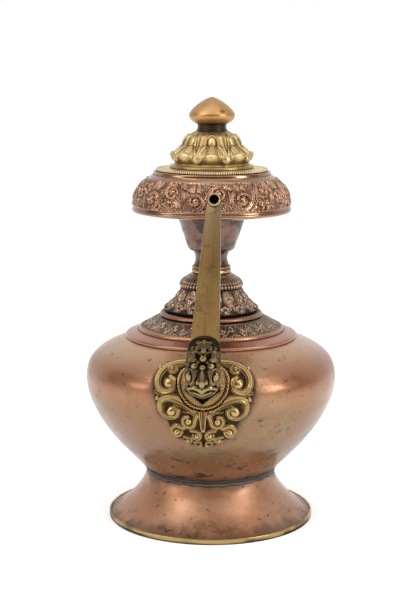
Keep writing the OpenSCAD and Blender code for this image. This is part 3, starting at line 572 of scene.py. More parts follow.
def build_foot():
    n = 256
    wall, ledge, top = FOOT_R + GAP, beside(FOOT_LINE, 0.0, -SHEET)[1] - GAP, FOOT_EDGE_Z + 0.4
    band, depth = 1.6, 6
    path = outline([[wall - depth, 0], [wall + band, 0], [wall + band, top], [wall, top], [wall, ledge],
                    [wall - depth, ledge]], 0.7, 5, 1.2)
    th, r, z = around(n, path)
    grime_and_shade = 0.9*smooth(1.9, 0.9, z + 0.35*np.sin(3*th + 1) + 0.3*np.sin(11*th))
    grime_and_shade = np.clip(grime_and_shade + 0.5*smooth(0.4, 1.2, wobble(th, z, 1.6, 91, 24)), 0, 1)
    turned("vis_foot_rim", path, BAND, n, wobble(th, z, 0.05, 3)*smooth(0.2, 1.2, z), grime_and_shade=grime_and_shade)

    outer, inner = curve(FOOT_LINE, 60), curve(FOOT_LINE, 60, -SHEET)[::-1]
    inner[:, 1] = np.minimum(inner[:, 1], FOOT_H - SHEET)
    seat = FOOT_TOP_R - SHEET - 4
    path = np.concatenate([outer, [[seat, FOOT_H], [seat, FOOT_H - SHEET]], inner])
    th, r, z = around(n, path)
    outside = np.arange(len(path)) < len(outer)
    # Darker towards the top under the body, soiling by the solder with painted shade; dark stains low down
    grime_and_shade = 0.55*smooth(28.5, 33.5, z + 1.6*np.sin(5*th) + 0.9*np.sin(13*th + 2))
    grime_and_shade = grime_and_shade + 0.5*smooth(9.0, 3.6, z + 1.3*np.sin(5*th + 1) + 1.0*np.sin(17*th) + 0.7*np.sin(43*th))
    dents = wobble(th, z, 0.13, 5)*outside*smooth(3.5, 6, z)*smooth(35, 32, z)
    turned("vis_foot", path, FOOT_COPPER, n, dents, grime_and_shade=np.where(outside, grime_and_shade, 0.35))


# Body
body_w, pull = BODY_R - FOOT_TOP_R, 0.56*(BODY_R - SHOULDER_R)
BODY_LO = [[FOOT_TOP_R, Z_BODY], [FOOT_TOP_R + 0.35*body_w, Z_BODY + 0.24*BELLY_H],
           [BODY_R, Z_BELLY - 0.41*BELLY_H], [BODY_R, Z_BELLY]]
BODY_UP = [[BODY_R, Z_BELLY], [BODY_R, Z_BELLY + 0.61*SHOULDER_H],
           [SHOULDER_R + pull*math.cos(SLOPE), Z_SHOULDER - pull*math.sin(SLOPE)], [SHOULDER_R, Z_SHOULDER]]
LO_LEN, UP_LEN = (float(lengths(curve(line, 24))[-1]) for line in (BODY_LO, BODY_UP))

# The spout's root on the body
SPOUT_Z = 116.0
ts = np.linspace(0, 1, 4001)
ROOT_T = float(np.interp(SPOUT_Z, bez(BODY_UP, ts)[:, 1], ts))
ROOT = bez(BODY_UP, ROOT_T)
ROOT_DIR = right(bez_dir(BODY_UP, ROOT_T))
ROOT_E = math.atan2(ROOT_DIR[1], ROOT_DIR[0])
ROOT_W = ROOT_T*UP_LEN


def skin(x, t, h):
    """A point h out of the body's skin, x across it and t up it from the spout's root."""
    x, t, h = np.broadcast_arrays(np.asarray(x, float), t, h)
    w = ROOT_W + t
    tu, tl = np.clip(w/UP_LEN, 0, 1), np.clip(1 + w/LO_LEN, 0, 1)
    up = (w >= 0)[..., None]
    r0 = np.where(up, bez(BODY_UP, tu), bez(BODY_LO, tl))[..., 0]
    return spun(np.where(up, beside(BODY_UP, tu, h), beside(BODY_LO, tl, h)), x/r0)


PLATE_RISE, PLATE_SIDE, PLATE_DROP = 22.0, 35.0, 47.0
PLATE_SHAPE = np.array([[0, PLATE_RISE], [27, 0.95*PLATE_RISE], [50, 0.75*PLATE_SIDE],
                        [70, 0.88*PLATE_SIDE], [90, 0.98*PLATE_SIDE], [105, 0.97*PLATE_SIDE],
                        [115, 0.98*PLATE_SIDE], [126, 1.03*PLATE_SIDE], [139, 0.98*PLATE_SIDE],
                        [147, 0.82*PLATE_DROP], [155, 0.89*PLATE_DROP], [168, 0.93*PLATE_DROP],
                        [180, 0.98*PLATE_DROP]])


def plate_reach(degrees):
    """Reach of the scroll plate's outline from the spout's root at an angle from the top."""
    return np.interp(degrees, PLATE_SHAPE[:, 0], PLATE_SHAPE[:, 1])


def build_body():
    n = 320
    lo, up = curve(BODY_LO, 72), curve(BODY_UP, 56)[1:]
    mouth_z = shoulder_at(BODY_MOUTH_R)
    straight = np.linspace([SHOULDER_R, Z_SHOULDER], [BODY_MOUTH_R, mouth_z], 9)[1:]
    lo_in, up_in = curve(BODY_LO, 40, -SHEET), curve(BODY_UP, 30, -SHEET)[1:]
    lo_in[:, 1] = np.maximum(lo_in[:, 1], Z_BODY + SHEET)
    end = [[BODY_MOUTH_R, mouth_z - SHEET/math.cos(SLOPE)]]
    inner = np.concatenate([[[0, Z_BODY + SHEET]], lo_in, up_in, end])[::-1]
    path = np.concatenate([[[0, Z_BODY], [22, Z_BODY]], lo, up, straight, inner])
    swept = slice(2, 2 + len(lo) + len(up))
    outside = np.zeros(len(path), bool)
    outside[2:swept.stop + len(straight)] = True
    th, r, z = around(n, path)
    hammered = wobble(th, z, 0.16, 8) + 0.05*np.sin(23*th + 0.4*z)*np.sin(0.33*z + 3*th)
    disp = hammered*outside*smooth(Z_BODY + 1, Z_BODY + 8, z)*smooth(Z_SHOULDER + 1, Z_SHOULDER - 6, z)
    # Dirt above the seam, painted shade under the step, and soiling smeared round the scroll plate with a
    # painted shadow along its edge
    grime_and_shade = 0.6*smooth(43.5, 37.5, z + 1.2*np.sin(6*th) + 0.8*np.sin(17*th + 1))
    grime_and_shade = grime_and_shade + 0.75*smooth(Z_SHOULDER + 0.2, Z_SHOULDER + 1.1, z)
    climb = lengths(path)
    x = np.where(th < math.pi, th, th - TAU)*r
    t = (climb - np.interp(ROOT[1], path[swept, 1], climb[swept]))[None]
    past = np.hypot(x, t) - plate_reach(np.degrees(np.arctan2(np.abs(x), t)))
    uneven = wobble(th*4, 0.3*z, 0.9, 9)
    smear = 0.42*smooth(8.0, -1.0, past + 2.4*uneven)*smooth(8.0, -14.0, t)
    grime_and_shade = np.where(outside, grime_and_shade + (0.95*smooth(2.6, -0.4, past + uneven) + smear), 0.3)
    turned("vis_body", path, COPPER, n, disp, grime_and_shade=np.clip(grime_and_shade, 0, 1), weld=True,
           nodes=("body_bowl", "body_shoulder"))

    # Solder runs unevenly along the seam between foot and body
    n, m = 300, 14
    th = angles(n)[:, None]
    k = np.linspace(0, 1, m)[None]
    up_to = 2.7 + wobble(th, 0*k, 0.6, 21, 9) + 0.25*np.sin(31*th)
    down_to = 2.4 + wobble(th, 0*k, 0.7, 22, 9) + 0.3*np.sin(27*th + 1)
    t_body = np.interp(Z_BODY + np.clip(up_to, 1.6, 4.2), bez(BODY_LO, ts)[:, 1], ts)
    t_foot = np.interp(FOOT_H - np.clip(down_to, 1.3, 4), bez(FOOT_LINE, ts)[:, 1], ts)
    swell = np.sin(math.pi*k)**0.7*(0.75 + wobble(th, 10*k, 0.22, 23, 12))

    def seam(lift):
        upper = beside(BODY_LO, t_body*np.clip(1 - 2*k, 0, 1), lift)
        lower = beside(FOOT_LINE, 1 - (1 - t_foot)*np.clip(2*k - 1, 0, 1), lift)
        return np.where((k <= 0.5)[..., None], upper, lower)

    sec = np.concatenate([seam(0.12 + swell)[:, ::-1], seam(0.1 + 0*swell)], 1)
    relief = np.concatenate([swell[:, ::-1], 0*swell], 1)
    add_piece("vis_foot_solder", spun(sec, th), ring_quads(n, 2*m), SOLDER, np.clip(relief, 0, 1), sharp=60)


# Shoulder tiers
def build_shoulder():
    n = 256
    low, lift = shoulder_at(STEP_R), GAP/math.cos(SLOPE)
    path = outline([[STEP_R, low + lift], [STEP_R, low + STEP_H], [PLATE_R + 0.3, Z_PLATE - GAP],
                    [BODY_MOUTH_R, Z_PLATE - GAP],
                    [BODY_MOUTH_R, shoulder_at(BODY_MOUTH_R) + lift]], 0.8, 5, 1.4)
    th, r, z = around(n, path)
    # Painted shade along the foot of the step and next to the embossed plate
    grime_and_shade = 0.8*smooth(low + 1.1, low + 0.2, z + 0.15*np.sin(7*th))
    grime_and_shade = grime_and_shade + 0.7*smooth(PLATE_R + 1.6, PLATE_R + 0.5, r)
    turned("vis_shoulder_step", path, STEP_COPPER, n, wobble(th, z, 0.05, 31), grime_and_shade=grime_and_shade)

    build_plate()
    path = moulding(RING_R - 7, RING_R, Z_RING, RING_H, 26, (-1.4, 0), (1, 0.14), (0.4, 0.9), (-2.8, 1))
    th, r, z = around(n, path)
    top = Z_RING + RING_H
    # Painted shade at the bottom and the top, where the plate and the cone meet the ring, and a little
    # darker all over
    grime_and_shade = 0.8*smooth(Z_RING + 0.9, Z_RING + 0.2, z) + 0.75*smooth(top - 0.45, top - 0.05, z)
    turned("vis_shoulder_ring", path, STEP_COPPER, n, wobble(th, z, 0.04, 33),
           grime_and_shade=np.clip(grime_and_shade + 0.3, 0, 1))


def build_plate():
    n, rows = 840, 56
    top, edge = Z_PLATE + PLATE_H, Z_PLATE + PLATE_EDGE_H
    seat, bore, rim_in = RING_R + 0.6, RING_R - 6, PLATE_R - SHEET - 0.7
    lip = [[PLATE_R, Z_PLATE], [PLATE_R, edge - 0.9], [PLATE_R - 0.15, edge - 0.35],
           [PLATE_R - 0.4, edge - 0.1]]
    slope = np.linspace([PLATE_R - 0.7, edge], [seat, top], rows)
    back = [[bore, top], [bore, top - SHEET], [seat - 0.7, top - SHEET], [rim_in, edge - 0.7],
            [rim_in, Z_PLATE]]
    path = np.concatenate([lip, slope, back])
    run = float(np.linalg.norm(slope[-1] - slope[0]))
    v = np.concatenate([np.zeros(len(lip)), np.linspace(0, run, rows), np.full(len(back), run)])[None]
    on_slope = np.concatenate([np.zeros(len(lip)), np.ones(rows), np.zeros(len(back))]) > 0
    th = angles(n)[:, None]
    cells, mid_r, bead_count = 20, 45.0, 140
    w = TAU*mid_r/cells
    cell = Strokes()
    for k, y in ((-1, 6.6), (1, 9.6)):
        cell.spiral(k*0.25*w, y, 3.1, 0.7, k*1.6, 1.35, 0.75, 0.5, 1.0)
        cell.balls((k*0.25*w, y, 0.95, 1.0))
    cell.arc([[-0.25*w, 3.5], [-0.02*w, 3.6], [0.02*w, 12.6], [0.25*w, 12.7]], 0.8, 0.7, 1.0)
    cell.leaves((-0.02*w, 9, -0.32*w, 13.2, 0.15, 1.0, 0.9), (-0.06*w, 10.5, -0.1*w, 14, 0.1, 0.9, 0.9),
                (-0.3*w, 11.2, -0.48*w, 13.4, -0.2, 0.9, 0.8), (0.04*w, 7, 0.34*w, 3.2, 0.15, 1.0, 0.9),
                (0.12*w, 5.6, 0.12*w, 2.9, 0.1, 0.9, 0.8), (0.34*w, 5.2, 0.49*w, 3.4, -0.2, 0.9, 0.8))
    h = repeated(cell, cells, th*mid_r, v, w, 0.12, 41)
    h = np.maximum(h, 0.22*wave(3.4*(0.7*th*mid_r - 1.2*v)))
    beads = np.clip(1 - ((v - 2.25)/0.75)**2 - (np.sin(bead_count*th/2)/0.85)**2, 0, 1)**0.5
    h = np.maximum(h*smooth(2.7, 3.3, v), 0.9*beads)
    zone = smooth(1.3, 1.6, v)*smooth(run - 0.6, run - 1.6, v)
    rims = gauss(v - 0.7, 0.45)*0.6 + gauss(v - (run - 0.9), 0.35)*0.35
    disp = (0.62*h*zone + 0.4*rims - 0.3*zone)*on_slope
    relief = np.clip(0.12 + 0.85*h*zone + 0.2*rims + 0.5*smooth(1.3, 0.9, v), 0, 1)
    # The lowest edge of the lip is painted dark, as shade against the step
    turned("vis_shoulder_plate", path, DARK, n, disp, np.where(on_slope, relief, 0.7),
           0.8*(np.arange(len(path)) == 0))


# Lotus cone and collar
def build_cone():
    n, rows = CONE_PETALS*60, 64
    s = np.linspace(0, 1, rows)
    run = CONE_R - CONE_TOP_R
    side = [[CONE_R, Z_CONE + 2.4], [CONE_R - 0.36*run, Z_CONE + 0.34*CONE_H],
            [CONE_TOP_R + 0.14*run, Z_CONE + 0.66*CONE_H], [CONE_TOP_R, Z_CONE + CONE_H]]
    under = at(CONE_R, Z_CONE, 1, (-4.6, 0), (-2, 0), (-1.1, 0.5), (-0.4, 1.4))
    back = [[CONE_TOP_R - 3.6, Z_CONE + CONE_H], [CONE_TOP_R - 2.4, Z_CONE + 0.62*CONE_H],
            [CONE_R - 6.2, Z_CONE + 3]]
    path = np.concatenate([under, bez(side, s), back])
    sv = np.concatenate([np.zeros(len(under)), s, np.ones(len(back))])[None]
    on_face = np.concatenate([[0, 0, 0.35, 0.7], np.ones(rows), np.zeros(len(back))])
    th = angles(n)[:, None]
    # Two rows of petals, the upper ones between the lower ones
    p0 = ((th*CONE_PETALS/TAU + 0.5) % 1 - 0.5)*2
    p1 = ((th*CONE_PETALS/TAU) % 1 - 0.5)*2

    def crown(d):
        return np.sqrt(np.clip(1 - np.clip(d, 0, 1)**2.4, 0, 1))

    def spot(p, out, wide, up, tall):
        return gauss(np.abs(p) - out, wide)*gauss(sv - up, tall)

    d0 = np.abs(p0)/(0.97*np.sqrt(np.clip(1 - (np.clip(0.26 - sv, 0, 1)/0.3)**2, 0.02, 1)))
    rim = gauss(d0 - 0.84, 0.09)*smooth(0.6, 0.4, sv)
    lobes = spot(p0, 0, 0.17, 0.15, 0.09) + spot(p0, 0.4, 0.13, 0.3, 0.08) + spot(p0, 0, 0.2, 0.36, 0.06)
    low = 0.75*(crown(d0)*smooth(0.66, 0.42, sv)) + 0.7*rim + 0.75*lobes*(d0 < 0.85)
    d1 = np.abs(p1)/(0.94*np.sqrt(np.clip((sv - 0.36)/0.24, 0.0004, 1)))
    rim = gauss(d1 - 0.82, 0.1)*smooth(0.36, 0.46, sv)
    lobes = spot(p1, 0, 0.15, 0.58, 0.1) + spot(p1, 0.36, 0.12, 0.7, 0.1)
    lobes = lobes + 0.8*spot(p1, 0, 0.18, 0.86, 0.09)
    high = 0.85*(crown(d1)*smooth(0.36, 0.44, sv)) + 0.55*rim*(d1 < 1.1) + 0.7*lobes*(d1 < 0.85)
    h = np.maximum(low, high)
    grain = 0.5 + 0.5*np.cos(3*math.pi*p0)*np.cos(26*sv)
    relief = np.clip(0.62*h - 0.02 + 0.1*(grain - 0.5), 0, 1)*on_face + 0.15*(1 - on_face)
    disp = (1.2*np.maximum(h, 0.28) - 1.35)*on_face
    sec = path[None] + disp[..., None]*outward(path)[None]
    sec[..., 1] += 1.5*(1 - np.sqrt(np.clip(1 - (p0*0.98)**2, 0, 1)))*smooth(0.16, 0.0, sv)*on_face
    add_piece("vis_lotus_cone", spun(sec, th), ring_quads(n, len(path)), DARK, relief, sharp=70)

    n, rows = GADROONS*16, 44
    s = np.linspace(0, 1, rows)
    side = [[COLLAR_R - 0.2, Z_COLLAR + 1.2], [COLLAR_R + 0.6, Z_COLLAR + 0.5*COLLAR_H],
            [COLLAR_R - 3, Z_COLLAR + 0.66*COLLAR_H], [BEAD_R + 0.4, Z_COLLAR + COLLAR_H]]
    under = at(COLLAR_R, Z_COLLAR, 1, (-4, 0), (-1.4, 0), (-0.5, 0.4))
    back = [[BEAD_R - 2.6, Z_COLLAR + COLLAR_H], [COLLAR_R - 5.6, Z_COLLAR + 0.6*COLLAR_H]]
    path = np.concatenate([under, bez(side, s), back])
    sv = np.concatenate([np.zeros(len(under)), s, np.ones(len(back))])[None]
    on_face = np.concatenate([[0, 0.5, 1], np.ones(rows), np.zeros(len(back))])
    ribs = np.abs(np.sin(0.5*GADROONS*angles(n)[:, None]))**0.6
    fade = smooth(0.78, 0.5, sv)
    lines = gauss(sv - 0.82, 0.018) + gauss(sv - 0.9, 0.018)
    teeth = gauss(sv - 0.1, 0.07)*ribs
    h = ribs*fade
    disp = (0.9*h + 0.35*teeth - 0.8*fade - 0.35*lines - 0.35*gauss(sv - 0.24, 0.03))*on_face
    relief = 0.15 + 0.6*h + 0.25*teeth + 0.45*smooth(0.55, 0.8, sv) - 0.8*lines - 0.6*gauss(sv - 0.24, 0.04)
    turned("vis_bead_collar", path, DARK, n, disp, np.clip(relief, 0, 1)*on_face + 0.1*(1 - on_face))


# Neck, cup and the wide rim
def build_neck():
    n = 224
    waist, top = Z_BEAD + 0.62*BEAD_H, Z_BEAD + BEAD_H
    lower = [[BEAD_R - 0.9, Z_BEAD], [BEAD_R + 0.5, Z_BEAD + 0.1*BEAD_H],
             [BEAD_R + 0.4, waist - 0.1*BEAD_H], [BEAD_R - 0.9, waist]]
    upper = [[BEAD_R - 0.9, waist], [BEAD_R + 0.1, waist + 0.1*BEAD_H], [BEAD_R, Z_BEAD + 0.95*BEAD_H],
             [BEAD_R - 1.4, top]]
    path = section(NECK_BORE, curve(lower, 20), curve(upper, 16)[1:])
    th, r, z = around(n, path)
    # Painted shade in the waist between the beads and at the bottom on the collar; the upper bead a little
    # darker
    grime_and_shade = 0.9*gauss(z - waist, 0.4) + 0.35*smooth(waist, waist + 1.0, z)
    grime_and_shade = grime_and_shade + 0.5*smooth(Z_BEAD + 0.7, Z_BEAD, z)
    turned("vis_neck_ring", path, BRASS, n, wobble(th, z, 0.04, 51), grime_and_shade=np.clip(grime_and_shade, 0, 1))

    path = moulding(NECK_BORE, NECK_R, Z_NECK, NECK_H, 40, (1.4, 0), (-0.4, 0.32), (-0.5, 0.64), (1.9, 1))
    th, r, z = around(n, path)
    # Dark lines at both ends, where the neck meets the ring and the cup, are painted shade
    lines = gauss(z - Z_NECK - 0.5, 0.25) + gauss(z - Z_NECK - NECK_H + 0.9, 0.3)
    turned("vis_neck", path, CUP_COPPER, n, wobble(th, z, 0.04, 53), grime_and_shade=np.clip(0.8*lines + 0.25, 0, 1))

    w = RIM_SHEET
    heel_z, top = Z_CUP + 0.14*CUP_H, Z_CUP + CUP_H
    heel = [[NECK_R + 2.2, Z_CUP], [CUP_LOW_R - 0.8, Z_CUP + 0.2], [CUP_LOW_R - 0.2, heel_z - 1],
            [CUP_LOW_R, heel_z]]
    face = np.concatenate([curve(heel, 16), np.linspace([CUP_LOW_R, heel_z], [CUP_R, top], 40)[1:]])
    path = np.concatenate([[[NECK_BORE, Z_CUP]], face, [[CUP_R - w, top], [CUP_LOW_R - w, heel_z + 0.3],
                           [CUP_LOW_R - w - 1.2, Z_CUP + 0.09*CUP_H], [NECK_BORE, Z_CUP + w]]])
    th, r, z = around(n, path)
    out = np.zeros(len(path))
    out[1:len(face)] = 1
    # Blotches, more of them towards the top, and painted shade at the bottom where the cup sits on the neck
    patches = wobble(th, 1.5*z, 1.0, 59) + 0.5*wobble(3*th, 3.0*z, 1.0, 58)
    patches = patches + 0.55*smooth(Z_CUP + 0.55*CUP_H, top, z)
    grime_and_shade = 0.5*smooth(Z_CUP + 1.0, Z_CUP, z)*out + 0.65*smooth(0.15, 0.6, patches)*out
    dents = wobble(th, z, 0.1, 55)*out*smooth(Z_CUP, heel_z + 2, z)*smooth(top, top - 2, z)
    turned("vis_cup", path, CUP_COPPER, n, dents, grime_and_shade=np.clip(grime_and_shade, 0, 1))

    n = 320
    bore, seat, slope_r, lip = CUP_R - 3, CUP_R + 0.6, DOME_R - 3.2, DOME_R + LIP_OUT
    top, lip_h = Z_UNDER + UNDER_H, 2.4
    low = top - lip_h - 0.9
    path = outline([[bore, Z_UNDER], [seat, Z_UNDER], [slope_r, low], [lip, top - lip_h], [lip, top],
                    [DOME_R - 2, top], [DOME_R - 2, top - 0.6], [slope_r, low + w], [seat, Z_UNDER + w],
                    [bore, Z_UNDER + w]], 1.0, 6, 1.6)
    th, r, z = around(n, path)
    # Painted shade on the seat under the dome and on the inner part next to the cup
    grime_and_shade = 0.85*smooth(lip - 0.7, lip - 1.4, r)*smooth(top - 0.5, top - 0.1, z) + 0.4*smooth(40, 30, r)
    turned("vis_rim_underplate", path, CHASED, n, wobble(th, z, 0.08, 57)*smooth(CUP_R + 3, CUP_R + 8, r),
           grime_and_shade=np.clip(grime_and_shade, 0, 1))


DOME_LINE = [[DOME_R, Z_DOME], [DOME_R, Z_DOME + 0.65*DOME_H],
             [MOUTH_R + 0.45*(DOME_R - MOUTH_R), Z_DOME + 0.77*DOME_H], [MOUTH_R, Z_MOUTH]]


def dome_cell():
    cell = Strokes()
    cell.spiral(-8.6, 9.6, 6.3, 1.5, -1.65, 1.5, 1.45, 0.85, 1.0)
    cell.spiral(8.4, 15.2, 5.9, 1.5, 1.5, 1.5, 1.4, 0.85, 1.0)
    cell.arc([[-8.8, 3.3], [-0.6, 2.6], [-0.4, 21.6], [8.2, 21.3]], 1.7, 1.4, 1.05, 0.55)
    cell.arc([[-3.2, 2.6], [2.6, 4.0], [1.4, 12.0], [3.6, 17.5]], 1.0, 0.8, 0.8, 0.4)
    cell.balls((-8.6, 9.6, 2.0, 1.05), (8.4, 15.2, 1.9, 1.05), (-1.2, 15.6, 1.1, 0.9), (1.4, 9.0, 0.9, 0.8),
               (16.8, 13.2, 0.9, 0.85))
    # A fan of leaves over one scroll and one under the other
    for x, y, bend in ((-16.2, 18.0, -0.16), (-13.4, 21.6, -0.1), (-9.6, 23.4, 0.08), (-5.6, 23.2, 0.14),
                       (-2.4, 20.4, 0.2)):
        cell.leaves((-6.4 if x > -9 else -10.6, 16.2, x, y, bend, 1.5, 0.95))
    for x, y, bend in ((2.6, 6.4, 0.2), (4.6, 3.0, 0.16), (8.4, 2.2, 0.08), (12.2, 2.9, -0.1),
                       (15.4, 5.4, -0.16)):
        cell.leaves((6.2 if x < 8 else 10.4, 8.9, x, y, bend, 1.5, 0.95))
    cell.leaves((-16.6, 3.4, -15.2, 11.4, 0.14, 1.5, 0.95), (-17.4, 11.0, -14.8, 16.4, -0.14, 1.3, 0.9),
                (16.4, 8.6, 15.2, 16.6, -0.14, 1.6, 0.95), (14.2, 19.0, 12.0, 23.4, -0.14, 1.4, 0.9),
                (17.0, 18.0, 16.0, 23.2, 0.12, 1.4, 0.9), (1.6, 21.8, 5.2, 24.0, 0.14, 1.2, 0.85))
    return cell


def build_dome():
    n, rows, cells, mid_r = 1260, 68, 10, 54.0
    face, inner = bez(DOME_LINE, np.linspace(0, 1, rows)), curve(DOME_LINE, 7, -RIM_SHEET)[::-1]
    path = np.concatenate([face, inner])
    v = lengths(face)
    run = v[-1]
    v = np.concatenate([v, np.full(len(inner), run)])[None]
    on_face = np.arange(len(path)) < rows
    th = angles(n)[:, None]
    ripple = 0.26*wave(2.6*(0.8*th*mid_r + 1.3*v) + 2*np.sin(0.4*v))
    h = np.maximum(repeated(dome_cell(), cells, th*mid_r, v, TAU*mid_r/cells, 0.16, 61), ripple)
    zone = smooth(1.9, 2.7, v)*smooth(25.2, 23.4, v)
    lines = gauss(v - 1.5, 0.4) + 0.7*gauss(v - (run - 0.5), 0.4)
    disp = 1.7*h*zone - 0.75*zone - 0.4*lines + wobble(th, v, 0.06, 63)
    disp = disp*on_face*smooth(0.2, 1.2, v)*smooth(run, run - 0.6, v)
    relief = np.clip(0.02 + 0.82*h*zone + (1 - zone)*0.6 - 0.7*lines, 0, 1)
    turned("vis_rim_dome", path, CHASED, n, disp, np.where(on_face, relief, 0.3))

    n = 256
    up = bez_dir(DOME_LINE, 1.0)
    seat_out, seat_in = bez(DOME_LINE, 1.0) + GAP*up, beside(DOME_LINE, 1.0, -RIM_SHEET) + GAP*up
    top, low, collar = Z_MOUTH + MOUTH_H, seat_in[1] - 2.6, MOUTH_BORE + 1.5
    path = outline([[MOUTH_BORE, low], [collar, low], [collar, seat_in[1]], seat_in, seat_out,
                    [MOUTH_R - 0.5, top], [MOUTH_BORE, top]], 0.8, 5, 1.5)
    th, r, z = around(n, path)
    # Painted shade on the lower edge against the dome and on the inner part under the lid's flange
    grime_and_shade = 0.6*smooth(Z_MOUTH + 0.7, Z_MOUTH + 0.15, z)*smooth(MOUTH_R - 1.5, MOUTH_R - 0.8, r)
    grime_and_shade = np.clip(0.85*smooth(FLANGE_R + 0.7, FLANGE_R - 0.2, r) + grime_and_shade, 0, 1)
    turned("vis_mouth_ring", path, CHASED, n, wobble(th, z, 0.04, 65), grime_and_shade=grime_and_shade)


# Spout: its path in the plane through the axis, as in the part's source
BOSS_R, BOSS_H, ROPE_D = 15.0, 6.4, 2.6
ROPE_RHO = BOSS_R + GAP + ROPE_D/2
PLATE_IN = ROPE_RHO + ROPE_D/2 + GAP
COS_30 = math.cos(math.pi/6)
ROOT_LEN, BEND_R, TIP_BEND_R = BOSS_H + 1, 16.0, 9.0
SPOUT_OUT, OUTLET_RISE = math.radians(4), math.radians(20)
TIP_Z, DRIFT, ROOT_HEX, TIP_HEX, OUTLET_R, SPOUT_WALL = 240.0, 8.0, 10.2/COS_30, 4.3/COS_30, 2.95, 1.1
UPRIGHT = math.pi/2 - SPOUT_OUT
BEND_TURN, TIP_TURN = UPRIGHT - ROOT_E, UPRIGHT - OUTLET_RISE
BEND_LEN, TIP_LEN = BEND_R*BEND_TURN, TIP_BEND_R*TIP_TURN


def heading(a):
    return np.stack([np.cos(a), np.sin(a)], -1)


PATH_A = ROOT + (ROOT_LEN + GAP)*ROOT_DIR
PATH_B = PATH_A + BEND_R*(heading(ROOT_E + math.pi/2) - heading(UPRIGHT + math.pi/2))
tip_rise = TIP_BEND_R*(heading(UPRIGHT - math.pi/2) - heading(OUTLET_RISE - math.pi/2))
LONG_LEN = (TIP_Z - PATH_B[1] - tip_rise[1])/math.cos(SPOUT_OUT)
PATH_C = PATH_B + LONG_LEN*heading(UPRIGHT)
TAPER_FROM = ROOT_LEN + BEND_LEN
PATH_LEN = TAPER_FROM + LONG_LEN + TIP_LEN


def path_angle(s):
    a = ROOT_E + BEND_TURN*np.clip((s - ROOT_LEN)/BEND_LEN, 0, 1)
    return a - TIP_TURN*np.clip((s - TAPER_FROM - LONG_LEN)/TIP_LEN, 0, 1)


def path_at(s):
    """Radius and height of the spout's middle line, s along it from the root."""
    s = np.asarray(s, float)
    a = path_angle(s)
    straight = ROOT + (s[..., None] + GAP)*ROOT_DIR
    bend = PATH_A + BEND_R*(heading(ROOT_E + math.pi/2) - heading(a + math.pi/2))
    long = PATH_B + (s - TAPER_FROM)[..., None]*heading(UPRIGHT)
    tip = PATH_C + TIP_BEND_R*(heading(a + math.pi/2) - heading(UPRIGHT + math.pi/2))
    out = np.where((s <= ROOT_LEN)[..., None], straight, bend)
    out = np.where((s > TAPER_FROM)[..., None], long, out)
    return np.where((s > TAPER_FROM + LONG_LEN)[..., None], tip, out)


def path_hex(s):
    return ROOT_HEX + (TIP_HEX - ROOT_HEX)*np.clip((s - TAPER_FROM)/(LONG_LEN + TIP_LEN), 0, 1)


def path_x(s):
    return DRIFT*np.maximum(s - ROOT_LEN, 0)/(PATH_LEN - ROOT_LEN)


def round_path(s, a, d):
    """A point d from the spout's path at the angle a from its front."""
    s, a, d = np.broadcast_arrays(np.asarray(s, float), a, d)
    p = path_at(s) + (d*np.cos(a))[..., None]*right(heading(path_angle(s)))
    return np.stack([path_x(s) + d*np.sin(a), -p[..., 0], p[..., 1]], -1)


def hex_at(a, soft=0.03):
    """Radius at the angle a of a hexagon whose corners are at 1, with its corners eased."""
    b = (np.abs(a) % (math.pi/3)) - math.pi/6
    r = COS_30/np.cos(b)
    return r - soft*smooth(0.86, 1.0, r)**2


def build_spout():
    n = 72
    tip_from = TAPER_FROM + LONG_LEN
    s = np.concatenate([np.linspace(0, TAPER_FROM, 40), np.linspace(TAPER_FROM, tip_from, 70)[1:],
                        np.linspace(tip_from, PATH_LEN, 42)[1:]])[None]
    a = signed(angles(n)[:, None])
    ridge = gauss(a, 0.05)*smooth(TAPER_FROM - 4, TAPER_FROM + 6, s)
    ridge = ridge*smooth(TAPER_FROM + 62, TAPER_FROM + 22, s)
    outer = path_hex(s)*hex_at(a) + wobble(a, s*0.1, 0.05, 71) - 0.16*ridge
    inner = (path_hex(s) - SPOUT_WALL/COS_30)*hex_at(a)
    verts = round_path(np.concatenate([s, s[:, ::-1]], 1), a, np.concatenate([outer, inner[:, ::-1]], 1))
    # The front edge is dark, the other edges are lighter with wear and a painted highlight, the right side
    # has painted shade, and the inside is dark
    dark = 0.5*ridge + 0.45*(gauss(a, 0.06)*smooth(TAPER_FROM + 30, TAPER_FROM + 60, s))
    relief = np.clip(0.6 + 0.3*smooth(0.955, 0.985, hex_at(a)) - dark, 0, 1)
    shade = 0.1 + 0.34*smooth(TAPER_FROM + 25, TAPER_FROM + 75, s)
    shade = smooth(0.05, 0.14, a)*smooth(2.4, 2.0, a)*shade
    add_piece("vis_spout_tube", verts, ring_quads(n, verts.shape[1])[:, ::-1], SPOUT,
              np.concatenate([relief, np.zeros_like(inner)], 1),
              np.concatenate([shade, np.ones_like(inner)], 1), sharp=24)

    # Nozzle ring at the tip
    lip = OUTLET_R + 1.2
    sec = outline([[OUTLET_R, GAP], [lip, GAP], [lip, 1.1], [OUTLET_R + 0.5, 1.7], [OUTLET_R, 1.6]],
                  0.35, 4, 0.5)
    a, r, along = around(n, sec)
    aim = heading(OUTLET_RISE)
    q = path_at(PATH_LEN) + along[..., None]*aim + (r*np.cos(a))[..., None]*right(aim)
    verts = np.stack([path_x(PATH_LEN) + r*np.sin(a), -q[..., 0], q[..., 1]], -1)
    # Painted shade round the inner edge of the bore
    add_piece("vis_spout_nozzle", verts, ring_quads(n, len(sec))[:, ::-1], SPOUT,
              np.full((n, len(sec)), 0.95), smooth(OUTLET_R + 0.25, OUTLET_R + 0.02, r))


